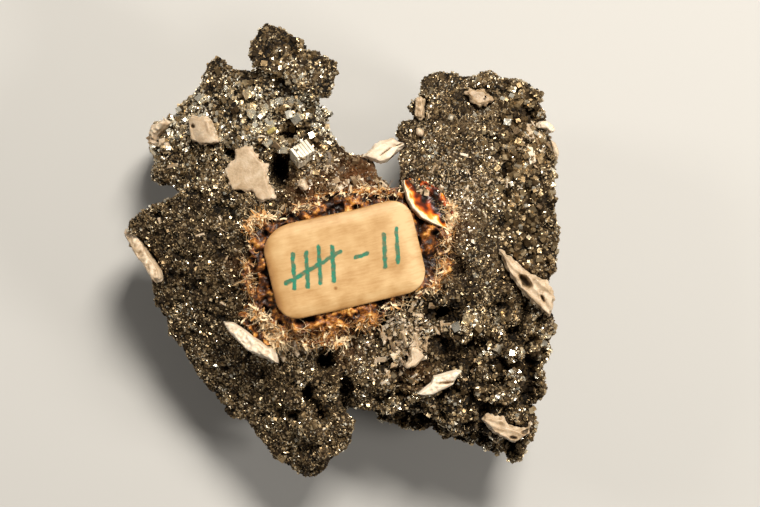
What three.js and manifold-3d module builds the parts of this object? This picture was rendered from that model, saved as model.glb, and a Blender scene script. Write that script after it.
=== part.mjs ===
// A pyrite pseudomorph after pyrrhotite: a group of thick hexagonal plates, once pyrrhotite and now
// replaced by finely crystallised pyrite, with cream calcite crystals on it. It lies with its display
// side down and the collector's label up. The label is a small card, bedded in a pad of old brown glue.
//
// Millimetres. +X is to the right and +Y up the specimen, seen from above with the label facing the
// viewer. +Z is up, out of the label. The origin is on the table, under the middle of the specimen.

import * as THREE from "three";
import { mergeVertices } from "three/addons/utils/BufferGeometryUtils.js";
import Module from "manifold-3d";

const wasm = await Module();
wasm.setup();

// Driving dimensions
const GAP = 0.25; // left between two pieces that touch
const WALL_LEAN = 0.1; // how far a plate's wall leans in, for each millimetre down
const LABEL_SIDE_X = 19.6;
const LABEL_SIDE_Y = 12.2;
const LABEL_CORNER = 2.9;
const LABEL_THICKNESS = 0.7;
const LABEL_TURN = 13.5; // degrees, anticlockwise seen from above
const LABEL_UNDERSIDE = 26.4;
const GLUE_BED = 23.4; // height at which the pad of glue starts
const RIM_CHAMFER = 0.2; // on the edges of the calcite blades
const MERGE = 1e-3;

// The same random numbers at every build
function dice(seed) {
  let state = seed;
  return () => {
    state = (state + 0x6d2b79f5) | 0;
    let mixed = Math.imul(state ^ (state >>> 15), 1 | state);
    mixed = (mixed + Math.imul(mixed ^ (mixed >>> 7), 61 | mixed)) ^ mixed;
    return ((mixed ^ (mixed >>> 14)) >>> 0) / 4294967296;
  };
}

const between = (roll, low, high) => low + (high - low) * roll();
const radians = THREE.MathUtils.degToRad;

// A smooth random value from -1 to 1 at each point of space
function ripple(x, y, z) {
  const waves =
    Math.sin(1.7 * x + 2.3 * z + 0.4) * Math.cos(1.1 * y - 1.9 * z) +
    Math.sin(2.9 * y - 1.3 * x + 1.8) * Math.cos(3.1 * z + 0.7 * x);
  return waves / 2;
}

// Solids and geometries

// Only the positions, with the corners that lie on one another made one
function sewn(geometry) {
  const bare = new THREE.BufferGeometry();
  bare.setAttribute("position", geometry.getAttribute("position").clone());
  if (geometry.index) bare.setIndex(geometry.index.clone());
  return mergeVertices(bare, MERGE);
}

function solidOf(geometry) {
  const { position } = sewn(geometry).attributes;
  return new wasm.Manifold(
    new wasm.Mesh({
      numProp: 3,
      vertProperties: new Float32Array(position.array),
      triVerts: new Uint32Array(sewn(geometry).index.array),
    }),
  );
}

function geometryOf(solid) {
  const mesh = solid.getMesh();
  const geometry = new THREE.BufferGeometry();
  geometry.setAttribute("position", new THREE.BufferAttribute(mesh.vertProperties, mesh.numProp));
  geometry.setIndex(new THREE.BufferAttribute(mesh.triVerts, 1));
  geometry.computeVertexNormals();
  return geometry;
}

function outlineShape(points) {
  return new THREE.Shape(points.map(([x, y]) => new THREE.Vector2(x, y)));
}

function boxOf(outline) {
  return new THREE.Box2().setFromPoints(outline.map(([x, y]) => new THREE.Vector2(x, y)));
}

const middleOf = (outline) => boxOf(outline).getCenter(new THREE.Vector2());

// Pushes each vertex about by up to `amount`, always the same way at the same place, so no seam opens.
function roughen(geometry, amount, pitch = 1.1) {
  const place = geometry.getAttribute("position");
  for (let i = 0; i < place.count; i++) {
    const [x, y, z] = [place.getX(i) / pitch, place.getY(i) / pitch, place.getZ(i) / pitch];
    place.setXYZ(
      i,
      place.getX(i) + amount * ripple(x, y, z),
      place.getY(i) + amount * ripple(y + 7, z, x),
      place.getZ(i) + amount * ripple(z, x + 13, y),
    );
  }
  return geometry;
}

// A thick plate with the outline it has from above, its faces draped over an upper and a lower surface
// and its walls leaning in below.
function drapedPlate({ outline, top, bottom, rough = 0.5, pitch = 5.0 }) {
  const [size, middle] = [boxOf(outline).getSize(new THREE.Vector2()), middleOf(outline)];
  const [wide, deep] = [size.x + pitch, size.y + pitch];
  const faces = sewn(
    new THREE.BoxGeometry(wide, deep, 20, Math.round(wide / pitch), Math.round(deep / pitch), 1),
  );
  faces.translate(middle.x, middle.y, 0);
  roughen(faces, 0.22 * pitch, 0.9);
  const place = faces.getAttribute("position");
  for (let i = 0; i < place.count; i++) {
    const [x, y] = [place.getX(i), place.getY(i)];
    const height = place.getZ(i) > 0 ? top(x, y) : bottom(x, y);
    place.setZ(i, height + rough * ripple(x / 1.3, y / 1.3, height / 3));
  }

  const walls = sewn(
    new THREE.ExtrudeGeometry(outlineShape(outline), { depth: 1, bevelEnabled: false }),
  );
  const corner = walls.getAttribute("position");
  for (let i = 0; i < corner.count; i++) {
    const [x, y] = [corner.getX(i), corner.getY(i)];
    const upper = corner.getZ(i) > 0.5;
    const height = upper ? top(x, y) + 6 : bottom(x, y) - 4;
    const out = (WALL_LEAN * (height - top(x, y))) / Math.hypot(x - middle.x, y - middle.y);
    corner.setXYZ(i, x + out * (x - middle.x), y + out * (y - middle.y), height);
  }
  return solidOf(walls).intersect(solidOf(faces));
}

// The labelled face: heights of its surfaces, each where its own plate is

const LEFT_SLOPE = { x: 0.75, y: 0.66 }; // the way in which the left plate falls away

const leftFall = (x, y) => Math.max(0, -(LEFT_SLOPE.x * (x + 10) + LEFT_SLOPE.y * (y - 2)));
const leftTop = (x, y) => 24.4 - 0.22 * leftFall(x, y) - 0.019 * leftFall(x, y) ** 2;

function rightTop(x, y) {
  return 24.6 - 0.0055 * (y - 1) ** 2 - 0.06 * Math.max(0, x - 20);
}

function upperTop(x, y) {
  const fall = Math.max(0, -(x + 10));
  return 22.8 - 0.45 * fall - 0.015 * fall * fall - 0.1 * Math.max(0, y - 14);
}

const middleTop = (x, y) => 22.3 - 0.12 * Math.max(0, -y - 12);
const coreTop = (x, y) => Math.min(23.2, leftTop(x, y) - 0.8);
const lowerTop = (x, y) => 9.5 + 0.24 * x + 0.05 * (y + 21);

// The mass: outlines of its main plates

const RIGHT_OUTLINE = [
  [7.9, 9.5], [7.8, 12.2], [8.3, 13.8], [7.4, 15.6], [8.1, 17.0], [9.7, 17.4], [9.9, 20.1],
  [10.5, 20.5], [10.7, 22.8], [12.6, 23.6], [14.5, 23.7], [15.6, 23.0], [17.2, 23.0], [19.7, 23.8],
  [20.9, 22.9], [23.6, 22.5], [25.3, 21.2], [26.3, 19.1], [26.7, 17.6], [27.3, 16.4], [28.0, 14.2],
  [27.9, 6.0], [28.3, 3.4], [28.1, -2.0], [27.4, -3.6], [27.5, -6.0], [28.1, -7.6], [28.2, -9.8],
  [27.8, -12.2], [26.9, -14.6], [26.6, -17.2], [26.2, -20.0], [25.3, -22.8], [24.8, -24.8],
  [21.0, -24.9], [15.2, -23.8], [12.2, -22.0], [8.2, -20.9], [6.0, -18.0], [8.0, -8.0], [9.0, 2.0],
];
const LEFT_OUTLINE = [
  [-27.7, 4.3], [-26.3, 5.3], [-22.9, 6.8], [-21.2, 7.7], [-17.8, 9.4], [-12.2, 11.2], [-8.0, 9.0],
  [-2.0, 5.0], [0.0, -4.0], [0.5, -14.0], [0.2, -19.5], [1.0, -21.3], [1.9, -22.8], [1.5, -25.0],
  [0.4, -26.3], [-1.0, -27.0], [-2.0, -28.8], [-3.3, -29.9], [-4.6, -30.0], [-6.3, -28.9],
  [-8.9, -27.5], [-10.2, -25.4], [-11.4, -24.2], [-12.9, -22.3], [-15.2, -22.0], [-15.7, -20.4],
  [-16.9, -19.0], [-18.9, -17.2], [-20.1, -14.9], [-21.5, -12.5], [-23.0, -11.2], [-23.3, -8.9],
  [-24.7, -7.1], [-25.0, -5.1], [-25.3, -2.6], [-26.9, 0.0], [-27.9, 1.8],
];
const UPPER_OUTLINE = [
  [-21.2, 7.6], [-22.7, 9.2], [-24.3, 9.1], [-25.5, 9.7], [-25.7, 10.8], [-25.1, 12.2], [-25.5, 14.0],
  [-26.0, 15.9], [-25.4, 17.1], [-23.3, 17.9], [-22.2, 18.6], [-21.7, 19.8], [-20.1, 20.4],
  [-19.0, 21.6], [-17.9, 23.1], [-17.6, 24.8], [-16.7, 25.6], [-15.8, 25.8], [-15.1, 24.9],
  [-14.6, 24.2], [-12.8, 24.0], [-11.3, 23.6], [-8.0, 24.0], [-4.0, 21.5], [-2.8, 19.6], [-2.4, 18.0],
  [-1.4, 16.1], [0.1, 14.3], [1.4, 12.7], [3.0, 12.5], [4.4, 12.6], [5.0, 11.4], [4.9, 10.4],
  [6.4, 8.4], [7.3, 7.9], [8.8, 8.4], [10.5, 3.0], [-8.0, 2.0], [-16.0, 6.0],
];
const MIDDLE_OUTLINE = [
  [-1.5, -9.0], [12.0, -6.0], [16.0, -14.0], [14.0, -22.0], [8.0, -20.8], [3.2, -20.6], [1.2, -19.6],
  [0.2, -16.5], [-1.0, -14.0],
];
const LOWER_OUTLINE = [
  [1.6, -21.3], [3.2, -21.2], [5.0, -22.2], [6.6, -23.4], [8.6, -24.1], [10.6, -24.2], [13.5, -24.1],
  [14.3, -25.2], [17.5, -25.8], [20.1, -26.3], [22.5, -27.4], [24.3, -27.8], [24.6, -25.2],
  [25.3, -22.5], [24.0, -12.0], [12.0, -8.0], [0.0, -10.0], [-2.0, -18.0],
];
const CORE_OUTLINE = [
  [-15.0, 4.0], [-7.0, 9.5], [3.5, 8.5], [6.5, 6.5], [10.0, 5.0], [20.0, 6.0], [22.0, -8.0],
  [17.0, -18.0], [2.0, -18.0], [-10.0, -17.0], [-17.0, -8.0],
];

function mainPlates() {
  return [
    { outline: RIGHT_OUTLINE, top: rightTop, bottom: (x, y) => 14.6 - 0.05 * x + 0.03 * y },
    { outline: LEFT_OUTLINE, top: leftTop, bottom: (x, y) => leftTop(x, y) - 9.5 },
    { outline: UPPER_OUTLINE, top: upperTop, bottom: (x, y) => upperTop(x, y) - 8.5 },
    { outline: MIDDLE_OUTLINE, top: middleTop, bottom: () => 12, pitch: 5.5 },
    { outline: LOWER_OUTLINE, top: lowerTop, bottom: (x, y) => lowerTop(x, y) - 5.5, pitch: 6 },
    { outline: CORE_OUTLINE, top: coreTop, bottom: () => 3.5, pitch: 9, rough: 0.2 },
  ].map(drapedPlate);
}

// One tabular crystal: a hexagonal plate, tilted about X, then Y and then Z, with chamfered edges
// where `chamfer` is more than nought.
function hexagonalPlate({ at, radius, thickness, tilt, stretch = 1, chamfer = 0.5 }) {
  const corners = [];
  for (let i = 0; i < 6; i++) {
    const angle = (i * Math.PI) / 3;
    corners.push([radius * Math.cos(angle), stretch * radius * Math.sin(angle)]);
  }
  const geometry = new THREE.ExtrudeGeometry(outlineShape(corners), {
    depth: thickness - 2 * chamfer,
    bevelEnabled: chamfer > 0,
    bevelThickness: chamfer,
    bevelSize: chamfer,
    bevelOffset: -chamfer,
    bevelSegments: 1,
  });
  geometry.translate(0, 0, chamfer - thickness / 2);
  const [tiltX, tiltY, turn] = tilt.map(radians);
  const turned = new THREE.Euler(tiltX, tiltY, turn, "ZYX");
  geometry.applyMatrix4(new THREE.Matrix4().makeRotationFromEuler(turned));
  geometry.translate(...at);
  return solidOf(geometry);
}

// The display side, under the labelled face: crossing plates, four of which reach the table.
const UNDERSIDE_PLATES = [
  { at: [12.0, -13.5, 3.6], radius: 9.0, thickness: 7.0, tilt: [5, -4, 5], chamfer: 0 },
  { at: [-8.5, -14.0, 5.0], radius: 8.5, thickness: 9.5, tilt: [-5, 5, 15], chamfer: 0 },
  { at: [-7.8, 9.6, 4.0], radius: 8.8, thickness: 7.5, tilt: [4, 4, 30], chamfer: 0 },
  { at: [18.0, 5.5, 4.2], radius: 8.5, thickness: 8.0, tilt: [-4, -5, 12], chamfer: 0 },
  { at: [18.2, 13.0, 10.5], radius: 9.3, thickness: 5.0, tilt: [12, 10, 10] },
  { at: [19.2, -5.0, 10.5], radius: 9.0, thickness: 6.0, tilt: [-10, 12, 25] },
  { at: [15.5, -14.5, 12.5], radius: 9.0, thickness: 5.0, tilt: [14, 6, 0] },
  { at: [-14.5, -3.5, 8.0], radius: 9.5, thickness: 6.0, tilt: [10, -22, 5] },
  { at: [-15.5, 13.5, 6.8], radius: 8.2, thickness: 5.0, tilt: [-6, -14, 20] },
  { at: [-5.5, -19.0, 9.0], radius: 7.6, thickness: 6.0, tilt: [16, 0, 10] },
  { at: [-8.5, 18.0, 12.5], radius: 6.8, thickness: 7.0, tilt: [-10, 8, 0] },
  { at: [2.0, -4.0, 5.0], radius: 9.5, thickness: 3.6, tilt: [66, 14, 0], stretch: 0.9, chamfer: 0 },
  { at: [-12.0, -7.0, 8.0], radius: 8.4, thickness: 4.4, tilt: [12, 60, 10], chamfer: 0 },
  { at: [21.0, -1.0, 8.0], radius: 7.0, thickness: 3.2, tilt: [80, 8, 60], chamfer: 0 },
  { at: [-9.0, 15.5, 7.0], radius: 8.0, thickness: 3.2, tilt: [70, -10, 120], chamfer: 0 },
];

// Two small tabular crystals that stand above the top of the upper plate
const CREST_PLATES = [
  {
    outline: [[-11.7, 25.9], [-11.1, 27.4], [-10.3, 29.1], [-9.5, 29.8], [-7.0, 28.8], [-4.8, 27.8],
      [-4.5, 26.0], [-5.5, 23.4], [-8.0, 22.6], [-11.2, 24.2]],
    top: (x, y) => 24.0 - 0.25 * (y - 24) - 0.06 * (x + 8),
    bottom: (x, y) => 14.6 - 0.12 * (y - 24),
    rough: 0.25,
  },
  {
    outline: [[-7.4, 22.6], [-6.2, 24.6], [-4.6, 26.3], [-1.8, 25.4], [-0.2, 24.8], [-0.4, 22.6],
      [-0.8, 20.6], [-1.2, 19.8], [-2.8, 20.0], [-5.2, 20.9]],
    top: (x, y) => 25.3 - 0.2 * (y - 23),
    bottom: (x, y) => 16.8 - 0.2 * (y - 23),
    rough: 0.25,
  },
];

// Rounded knots of small crystals, most of them on the lower right of the labelled face
const KNOTS = [
  { at: [15.9, -10.4], radius: 2.6 }, { at: [20.2, -11.2], radius: 2.3 }, { at: [23.6, -13.0], radius: 1.9 },
  { at: [15.2, -13.2], radius: 1.6 }, { at: [18.4, -14.6], radius: 2.2 }, { at: [22.6, -16.4], radius: 2.1 },
  { at: [17.6, -18.2], radius: 1.5 }, { at: [20.8, -19.0], radius: 2.2 }, { at: [13.0, -20.2], radius: 1.7 },
  { at: [16.8, -21.4], radius: 1.9 }, { at: [3.2, -15.7], radius: 3.3 }, { at: [-3.6, -23.2], radius: 2.5 },
  { at: [-6.5, 18.2], radius: 2.1 }, { at: [-3.7, 16.5], radius: 1.7 }, { at: [-9.6, 21.6], radius: 2.0 },
  { at: [-23.6, 14.4], radius: 2.0 }, { at: [-23.8, 10.6], radius: 1.5 },
];

// Holes that read as black from a step away
const PITS = [
  { at: [-7.9, 10.3], size: [1.6, 3.0, 4.5] }, { at: [-14.3, 12.9], size: [1.3, 1.4, 2.5] },
  { at: [-6.3, 15.4], size: [1.6, 1.1, 2.5] }, { at: [13.0, -8.1], size: [1.8, 1.2, 3.5] },
  { at: [20.5, -8.6], size: [1.4, 1.0, 2.5] }, { at: [5.3, -8.6], size: [1.0, 1.1, 2.5] },
  { at: [-1.6, -14.0], size: [1.5, 1.8, 5.0] }, { at: [1.0, -18.2], size: [1.2, 2.7, 6.0] },
  { at: [-4.2, -18.8], size: [1.0, 2.0, 3.5] }, { at: [-2.0, -21.8], size: [0.9, 1.7, 2.6] },
  { at: [-5.9, -22.0], size: [1.1, 0.9, 2.0] },
];

function inside(outline, x, y) {
  let within = false;
  outline.forEach(([ax, ay], i) => {
    const [bx, by] = outline[(i + 1) % outline.length];
    if (ay > y !== by > y && x < ax + ((y - ay) / (by - ay)) * (bx - ax)) within = !within;
  });
  return within;
}

// Height of the labelled face at a place, from whichever plate is uppermost there
function faceHeight(x, y) {
  const heights = [
    [LEFT_OUTLINE, leftTop],
    [RIGHT_OUTLINE, rightTop],
    [UPPER_OUTLINE, upperTop],
    [MIDDLE_OUTLINE, middleTop],
    [LOWER_OUTLINE, lowerTop],
  ].map(([outline, top]) => (inside(outline, x, y) ? top(x, y) : 0));
  return Math.max(...heights);
}

function knot({ at: [x, y], radius }) {
  const ball = sewn(new THREE.IcosahedronGeometry(radius, radius > 3 ? 1 : 0));
  const geometry = roughen(ball, 0.16 * radius, 0.5 * radius);
  geometry.scale(1, 1, 0.85);
  geometry.translate(x, y, faceHeight(x, y) - 0.15 * radius);
  return solidOf(geometry);
}

function pit({ at: [x, y], size }) {
  const geometry = sewn(new THREE.IcosahedronGeometry(1, 0));
  geometry.scale(...size);
  geometry.translate(x, y, faceHeight(x, y));
  return solidOf(roughen(geometry, 0.2));
}

// A pyrite crystal, a cube or a pyritohedron, turned at random
function pyriteCrystal(roll, edge, at) {
  const geometry = roll() < 0.8
    ? new THREE.BoxGeometry(edge, edge, edge * between(roll, 0.8, 1.2))
    : new THREE.DodecahedronGeometry(edge * 0.68);
  const turned = new THREE.Euler(...[0, 1, 2].map(() => between(roll, 0, Math.PI)));
  geometry.applyMatrix4(new THREE.Matrix4().makeRotationFromEuler(turned));
  geometry.translate(...at);
  return solidOf(geometry);
}

// Zones of the labelled face where single crystals stand out: [low corner, high corner, count, edge]
const CRYSTAL_ZONES = [
  { low: [21.5, -2], high: [27.6, 21], count: 9, edge: [1.4, 2.2] },
  { low: [-16, 12], high: [-1, 24], count: 7, edge: [1.4, 2.2] },
  { low: [-27, -14], high: [-13, 9], count: 4, edge: [1.3, 1.9] },
  { low: [-12, -28], high: [2, -13], count: 5, edge: [1.4, 2.1] },
  { low: [10, 6], high: [21, 23], count: 2, edge: [1.4, 1.9] },
];

function crystalsOfTheFace() {
  const roll = dice(41);
  const crystals = [];
  for (const { low, high, count, edge } of CRYSTAL_ZONES) {
    let placed = 0;
    while (placed < count) {
      const [x, y] = [between(roll, low[0], high[0]), between(roll, low[1], high[1])];
      const height = faceHeight(x, y);
      if (height > 0) {
        const size = between(roll, ...edge);
        crystals.push(pyriteCrystal(roll, size, [x, y, height - 0.1 * size]));
        placed += 1;
      }
    }
  }
  return crystals;
}

// Crystals around the rims, which break up the edges seen from above and from the sides
function crystalsOfTheRims() {
  const roll = dice(97);
  const spacing = 12;
  const crystals = [];
  for (const [outline, top] of [
    [LEFT_OUTLINE.slice(12), leftTop],
    [RIGHT_OUTLINE.slice(0, 36), rightTop],
    [UPPER_OUTLINE.slice(0, 34), upperTop],
  ]) {
    const path = new THREE.Path(outline.map(([x, y]) => new THREE.Vector2(x, y)));
    const middle = middleOf(outline);
    for (const { x, y } of path.getSpacedPoints(Math.round(path.getLength() / spacing))) {
      const edge = between(roll, 1.3, 2.1);
      const below = between(roll, 0.8, 6.5);
      const inward = (WALL_LEAN * below + 0.45 * edge) / Math.hypot(x - middle.x, y - middle.y);
      const [inX, inY] = [x + inward * (middle.x - x), y + inward * (middle.y - y)];
      crystals.push(pyriteCrystal(roll, edge, [inX, inY, top(inX, inY) - below]));
    }
  }
  return crystals;
}

// The one striated cube that stands clear of the others
function striatedCube() {
  const geometry = new THREE.BoxGeometry(2.5, 1.9, 2.4);
  geometry.applyMatrix4(
    new THREE.Matrix4().makeRotationFromEuler(new THREE.Euler(-0.35, 0.3, radians(32))),
  );
  geometry.translate(-4.7, 12.7, faceHeight(-4.7, 12.7) + 0.9);
  return solidOf(geometry);
}

function pyriteMass() {
  const whole = [
    ...mainPlates(),
    ...UNDERSIDE_PLATES.map(hexagonalPlate),
    ...CREST_PLATES.map(drapedPlate),
    ...KNOTS.map(knot),
    ...crystalsOfTheFace(),
    ...crystalsOfTheRims(),
    striatedCube(),
  ].reduce((mass, piece) => mass.add(piece));
  const table = new THREE.BoxGeometry(100, 100, 20);
  table.translate(0, 0, -10);
  return PITS.map(pit).reduce((mass, hole) => mass.subtract(hole), whole.subtract(solidOf(table)));
}

// Calcite: thin blades and plates, each with the outline it has from above

const CALCITE = {
  calcite_large_plate: {
    outline: [[-14.9, 10.7], [-13.5, 11.9], [-13.3, 13.0], [-12.5, 13.7], [-11.4, 13.8], [-10.2, 12.3],
      [-9.3, 11.3], [-9.0, 9.3], [-8.3, 7.6], [-9.5, 6.6], [-11.0, 8.1], [-13.7, 7.8], [-14.6, 9.8]],
    level: 23.9, thickness: 1.3, tilt: [4, -8],
  },
  calcite_upper_left: {
    outline: [[-20.0, 17.3], [-19.4, 17.9], [-17.5, 17.8], [-16.6, 17.4], [-15.8, 14.6], [-16.4, 14.2],
      [-18.0, 14.1], [-19.5, 14.7]],
    level: 18.9, thickness: 1.6, tilt: [4, -26],
  },
  calcite_left_edge: {
    outline: [[-28.7, 2.6], [-28.2, 3.3], [-27.2, 3.1], [-26.2, 1.9], [-24.8, -0.3], [-23.4, -2.5],
      [-23.2, -3.6], [-24.0, -4.3], [-25.3, -2.4], [-26.3, -1.2], [-27.4, 0.7]],
    level: 17.4, thickness: 2.4, tilt: [-12, -18],
  },
  calcite_bridge: {
    outline: [[2.9, 12.4], [5.6, 14.3], [7.0, 15.0], [7.5, 14.4], [8.7, 14.3], [8.7, 13.8], [6.4, 12.1],
      [5.2, 11.7], [4.0, 12.0]],
    level: 22.4, thickness: 2.0, tilt: [0, 4],
  },
  calcite_upper_right: {
    outline: [[16.4, 20.8], [17.3, 21.2], [18.8, 21.1], [20.0, 19.8], [19.4, 19.2], [18.0, 18.9],
      [17.0, 19.6]],
    level: 22.6, thickness: 1.3, tilt: [-8, 6],
  },
  calcite_notch_edge: {
    outline: [[9.9, 20.0], [10.6, 20.3], [11.2, 20.0], [11.1, 17.3], [10.4, 17.2], [9.8, 17.6]],
    level: 22.4, thickness: 1.8, tilt: [0, -10],
  },
  calcite_right_corner: {
    outline: [[25.6, 16.1], [26.0, 17.1], [27.0, 17.1], [27.9, 16.5], [28.2, 15.9], [27.4, 15.3],
      [26.6, 15.9]],
    level: 22.4, thickness: 1.8, tilt: [6, 10],
  },
  calcite_right_rim: {
    outline: [[27.1, 14.9], [28.0, 14.3], [28.6, 13.0], [28.5, 12.2], [27.9, 12.0], [27.4, 13.2]],
    level: 21.8, thickness: 1.8, tilt: [0, 14],
  },
  calcite_right_blade: {
    outline: [[20.6, 0.5], [22.5, -0.9], [24.5, -2.7], [26.7, -3.6], [27.6, -4.9], [27.8, -6.0],
      [27.2, -8.3], [25.5, -7.0], [23.4, -4.9], [21.8, -2.5]],
    level: 24.7, thickness: 2.2, tilt: [0, -4], hollow: { at: [24.0, -3.8], size: [0.55, 1.1, 1.0], turn: 35 },
  },
  calcite_lower_middle: {
    outline: [[10.0, -18.2], [11.9, -16.8], [12.1, -15.9], [15.2, -15.0], [15.8, -15.3], [14.7, -17.0],
      [12.2, -18.3], [11.0, -18.5]],
    level: 23.9, thickness: 1.8, tilt: [8, 0],
  },
  calcite_lower_right: {
    outline: [[18.5, -21.6], [19.0, -20.9], [21.4, -21.3], [21.9, -22.2], [23.2, -22.8], [24.5, -22.7],
      [25.1, -21.7], [24.7, -23.5], [22.8, -24.8], [20.0, -23.4]],
    level: 22.1, thickness: 1.8, tilt: [6, 4],
  },
  calcite_lower_left: {
    outline: [[-15.0, -8.9], [-13.7, -8.9], [-12.0, -10.0], [-9.2, -12.2], [-8.3, -12.4], [-7.8, -14.4],
      [-10.2, -13.4], [-11.8, -12.7], [-14.2, -10.2]],
    level: 23.4, thickness: 3.0, tilt: [-8, -10],
  },
  calcite_hollow_blade: {
    outline: [[8.3, 9.0], [9.2, 8.8], [9.8, 7.5], [10.7, 6.3], [14.1, 3.5], [13.8, 3.1], [11.0, 4.6],
      [9.5, 6.0], [8.6, 7.5]],
    level: 25.4, thickness: 3.4, tilt: [0, 4],
  },
  calcite_above_label: {
    outline: [[-5.5, 8.6], [-4.9, 9.5], [-4.4, 9.6], [-4.1, 8.8], [-3.8, 8.1], [-4.5, 7.8]],
    level: 24.6, thickness: 1.8, tilt: [0, 8],
  },
  calcite_bead: {
    outline: [[9.9, 15.9], [10.3, 16.2], [10.8, 16.0], [11.1, 15.5], [10.9, 15.0], [10.4, 14.9],
      [9.9, 15.3]],
    level: 23.9, thickness: 1.2, tilt: [0, 0],
  },
  calcite_stub: {
    outline: [[8.5, -14.9], [9.2, -13.3], [9.0, -12.3], [9.4, -11.8], [10.9, -12.9], [11.2, -13.5],
      [9.8, -14.8]],
    level: 23.3, thickness: 2.0, tilt: [0, 10],
  },
  calcite_far_corner: {
    outline: [[-25.6, 15.6], [-25.2, 17.0], [-23.2, 17.8], [-22.6, 17.3], [-23.4, 16.4], [-24.3, 15.6],
      [-24.6, 14.8]],
    level: 14.7, thickness: 2.0, tilt: [8, -24],
  },
};

// An outline with every side moved out by `reach`
function widened(outline, reach) {
  return outline.map(([x, y], i) => {
    const [px, py] = outline.at(i - 1);
    const [nx, ny] = outline[(i + 1) % outline.length];
    const before = new THREE.Vector2(y - py, px - x).normalize();
    const after = new THREE.Vector2(ny - y, x - nx).normalize();
    const out = before.add(after).normalize();
    const side = new THREE.Vector2(y - py, px - x).normalize();
    const stretch = (turnOf(outline) * reach) / Math.max(0.6, out.dot(side));
    return [x + stretch * out.x, y + stretch * out.y];
  });
}

// 1 where an outline runs anticlockwise, -1 where it runs clockwise
const turnOf = (outline) =>
  Math.sign(THREE.ShapeUtils.area(outline.map(([x, y]) => new THREE.Vector2(x, y))));

function setIn(geometry, { outline, level, tilt }) {
  const middle = middleOf(outline);
  const [tiltX, tiltY] = tilt.map(radians);
  geometry.translate(-middle.x, -middle.y, 0);
  geometry.applyMatrix4(
    new THREE.Matrix4().makeRotationFromEuler(new THREE.Euler(tiltX, tiltY, 0)),
  );
  geometry.translate(middle.x, middle.y, level);
  return solidOf(geometry);
}

// A calcite crystal: its outline, with chamfered edges
function calciteCrystal(crystal) {
  const { outline, level, thickness, hollow } = crystal;
  const chamfer = 0.3 * thickness;
  const geometry = new THREE.ExtrudeGeometry(outlineShape(outline), {
    depth: thickness - 2 * chamfer,
    bevelThickness: chamfer,
    bevelSize: RIM_CHAMFER,
    bevelOffset: -RIM_CHAMFER,
    bevelSegments: 1,
  });
  geometry.translate(0, 0, chamfer - thickness / 2);
  if (!hollow) return setIn(geometry, crystal);
  const scoop = sewn(new THREE.IcosahedronGeometry(1, 1));
  scoop.scale(...hollow.size);
  scoop.rotateZ(radians(hollow.turn));
  scoop.translate(...hollow.at, level + thickness / 2);
  return setIn(geometry, crystal).subtract(solidOf(scoop));
}

// The socket that the same crystal stands in, wider all round by the gap
function calciteSocket(crystal) {
  const depth = crystal.thickness + 2 * GAP;
  const shape = outlineShape(widened(crystal.outline, GAP));
  const geometry = new THREE.ExtrudeGeometry(shape, { depth, bevelEnabled: false });
  geometry.translate(0, 0, -depth / 2);
  return setIn(geometry, crystal);
}

// The label and the glue under it

function labelShape(grow = 0) {
  const [halfX, halfY] = [LABEL_SIDE_X / 2 + grow, LABEL_SIDE_Y / 2 + grow];
  const corner = LABEL_CORNER + grow;
  const shape = new THREE.Shape();
  shape.absarc(halfX - corner, halfY - corner, corner, 0, Math.PI / 2);
  shape.absarc(corner - halfX, halfY - corner, corner, Math.PI / 2, Math.PI);
  shape.absarc(corner - halfX, corner - halfY, corner, Math.PI, 1.5 * Math.PI);
  shape.absarc(halfX - corner, corner - halfY, corner, 1.5 * Math.PI, 2 * Math.PI);
  return shape;
}

const LABEL_MIDDLE = [0.75, -0.9];

function labelSolid(grow = 0) {
  const geometry = new THREE.ExtrudeGeometry(labelShape(grow), {
    depth: LABEL_THICKNESS + 2 * grow,
    bevelEnabled: false,
    curveSegments: 5,
  });
  geometry.rotateZ(radians(LABEL_TURN));
  geometry.translate(...LABEL_MIDDLE, LABEL_UNDERSIDE - grow);
  return solidOf(geometry);
}

const GLUE_OUTLINE = [
  [-12.0, 4.3], [-10.5, 4.9], [-8.0, 4.6], [-4.5, 6.2], [-2.0, 7.6], [1.5, 8.0], [4.5, 8.4], [7.4, 7.9],
  [9.0, 7.3], [11.0, 7.6], [13.6, 7.0], [15.3, 5.2], [14.6, 3.0], [14.4, 0.6], [14.2, -2.4],
  [12.4, -4.6], [8.6, -6.2], [6.4, -7.4], [5.0, -9.4], [2.6, -10.2], [0.2, -12.0], [-3.2, -12.0],
  [-6.2, -11.4], [-8.6, -12.2], [-12.0, -9.6], [-12.8, -8.2], [-11.0, -6.2], [-12.2, -4.4],
  [-12.4, -2.8], [-11.2, -0.2], [-11.7, 2.0],
];

const gluePad = () =>
  drapedPlate({
    outline: GLUE_OUTLINE,
    top: (x, y) => LABEL_UNDERSIDE + 0.3 - 0.006 * (x * x + y * y) - 0.25 * Math.max(0, leftFall(x, y) - 4),
    bottom: (x, y) => Math.min(GLUE_BED, leftTop(x, y) - 0.9),
    rough: 0.25,
    pitch: 4.6,
  });

// Putting it together: each piece keeps its own place, and what it stands in is cut back by GAP.

const finishes = {
  pyrite: new THREE.MeshStandardMaterial({ color: 0x7a7058, roughness: 0.42, metalness: 0.9 }),
  calcite: new THREE.MeshStandardMaterial({ color: 0xd9c4a8, roughness: 0.55, metalness: 0 }),
  glue: new THREE.MeshStandardMaterial({ color: 0x9a5a20, roughness: 0.4, metalness: 0 }),
  card: new THREE.MeshStandardMaterial({ color: 0xdcb57c, roughness: 0.5, metalness: 0 }),
};

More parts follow.
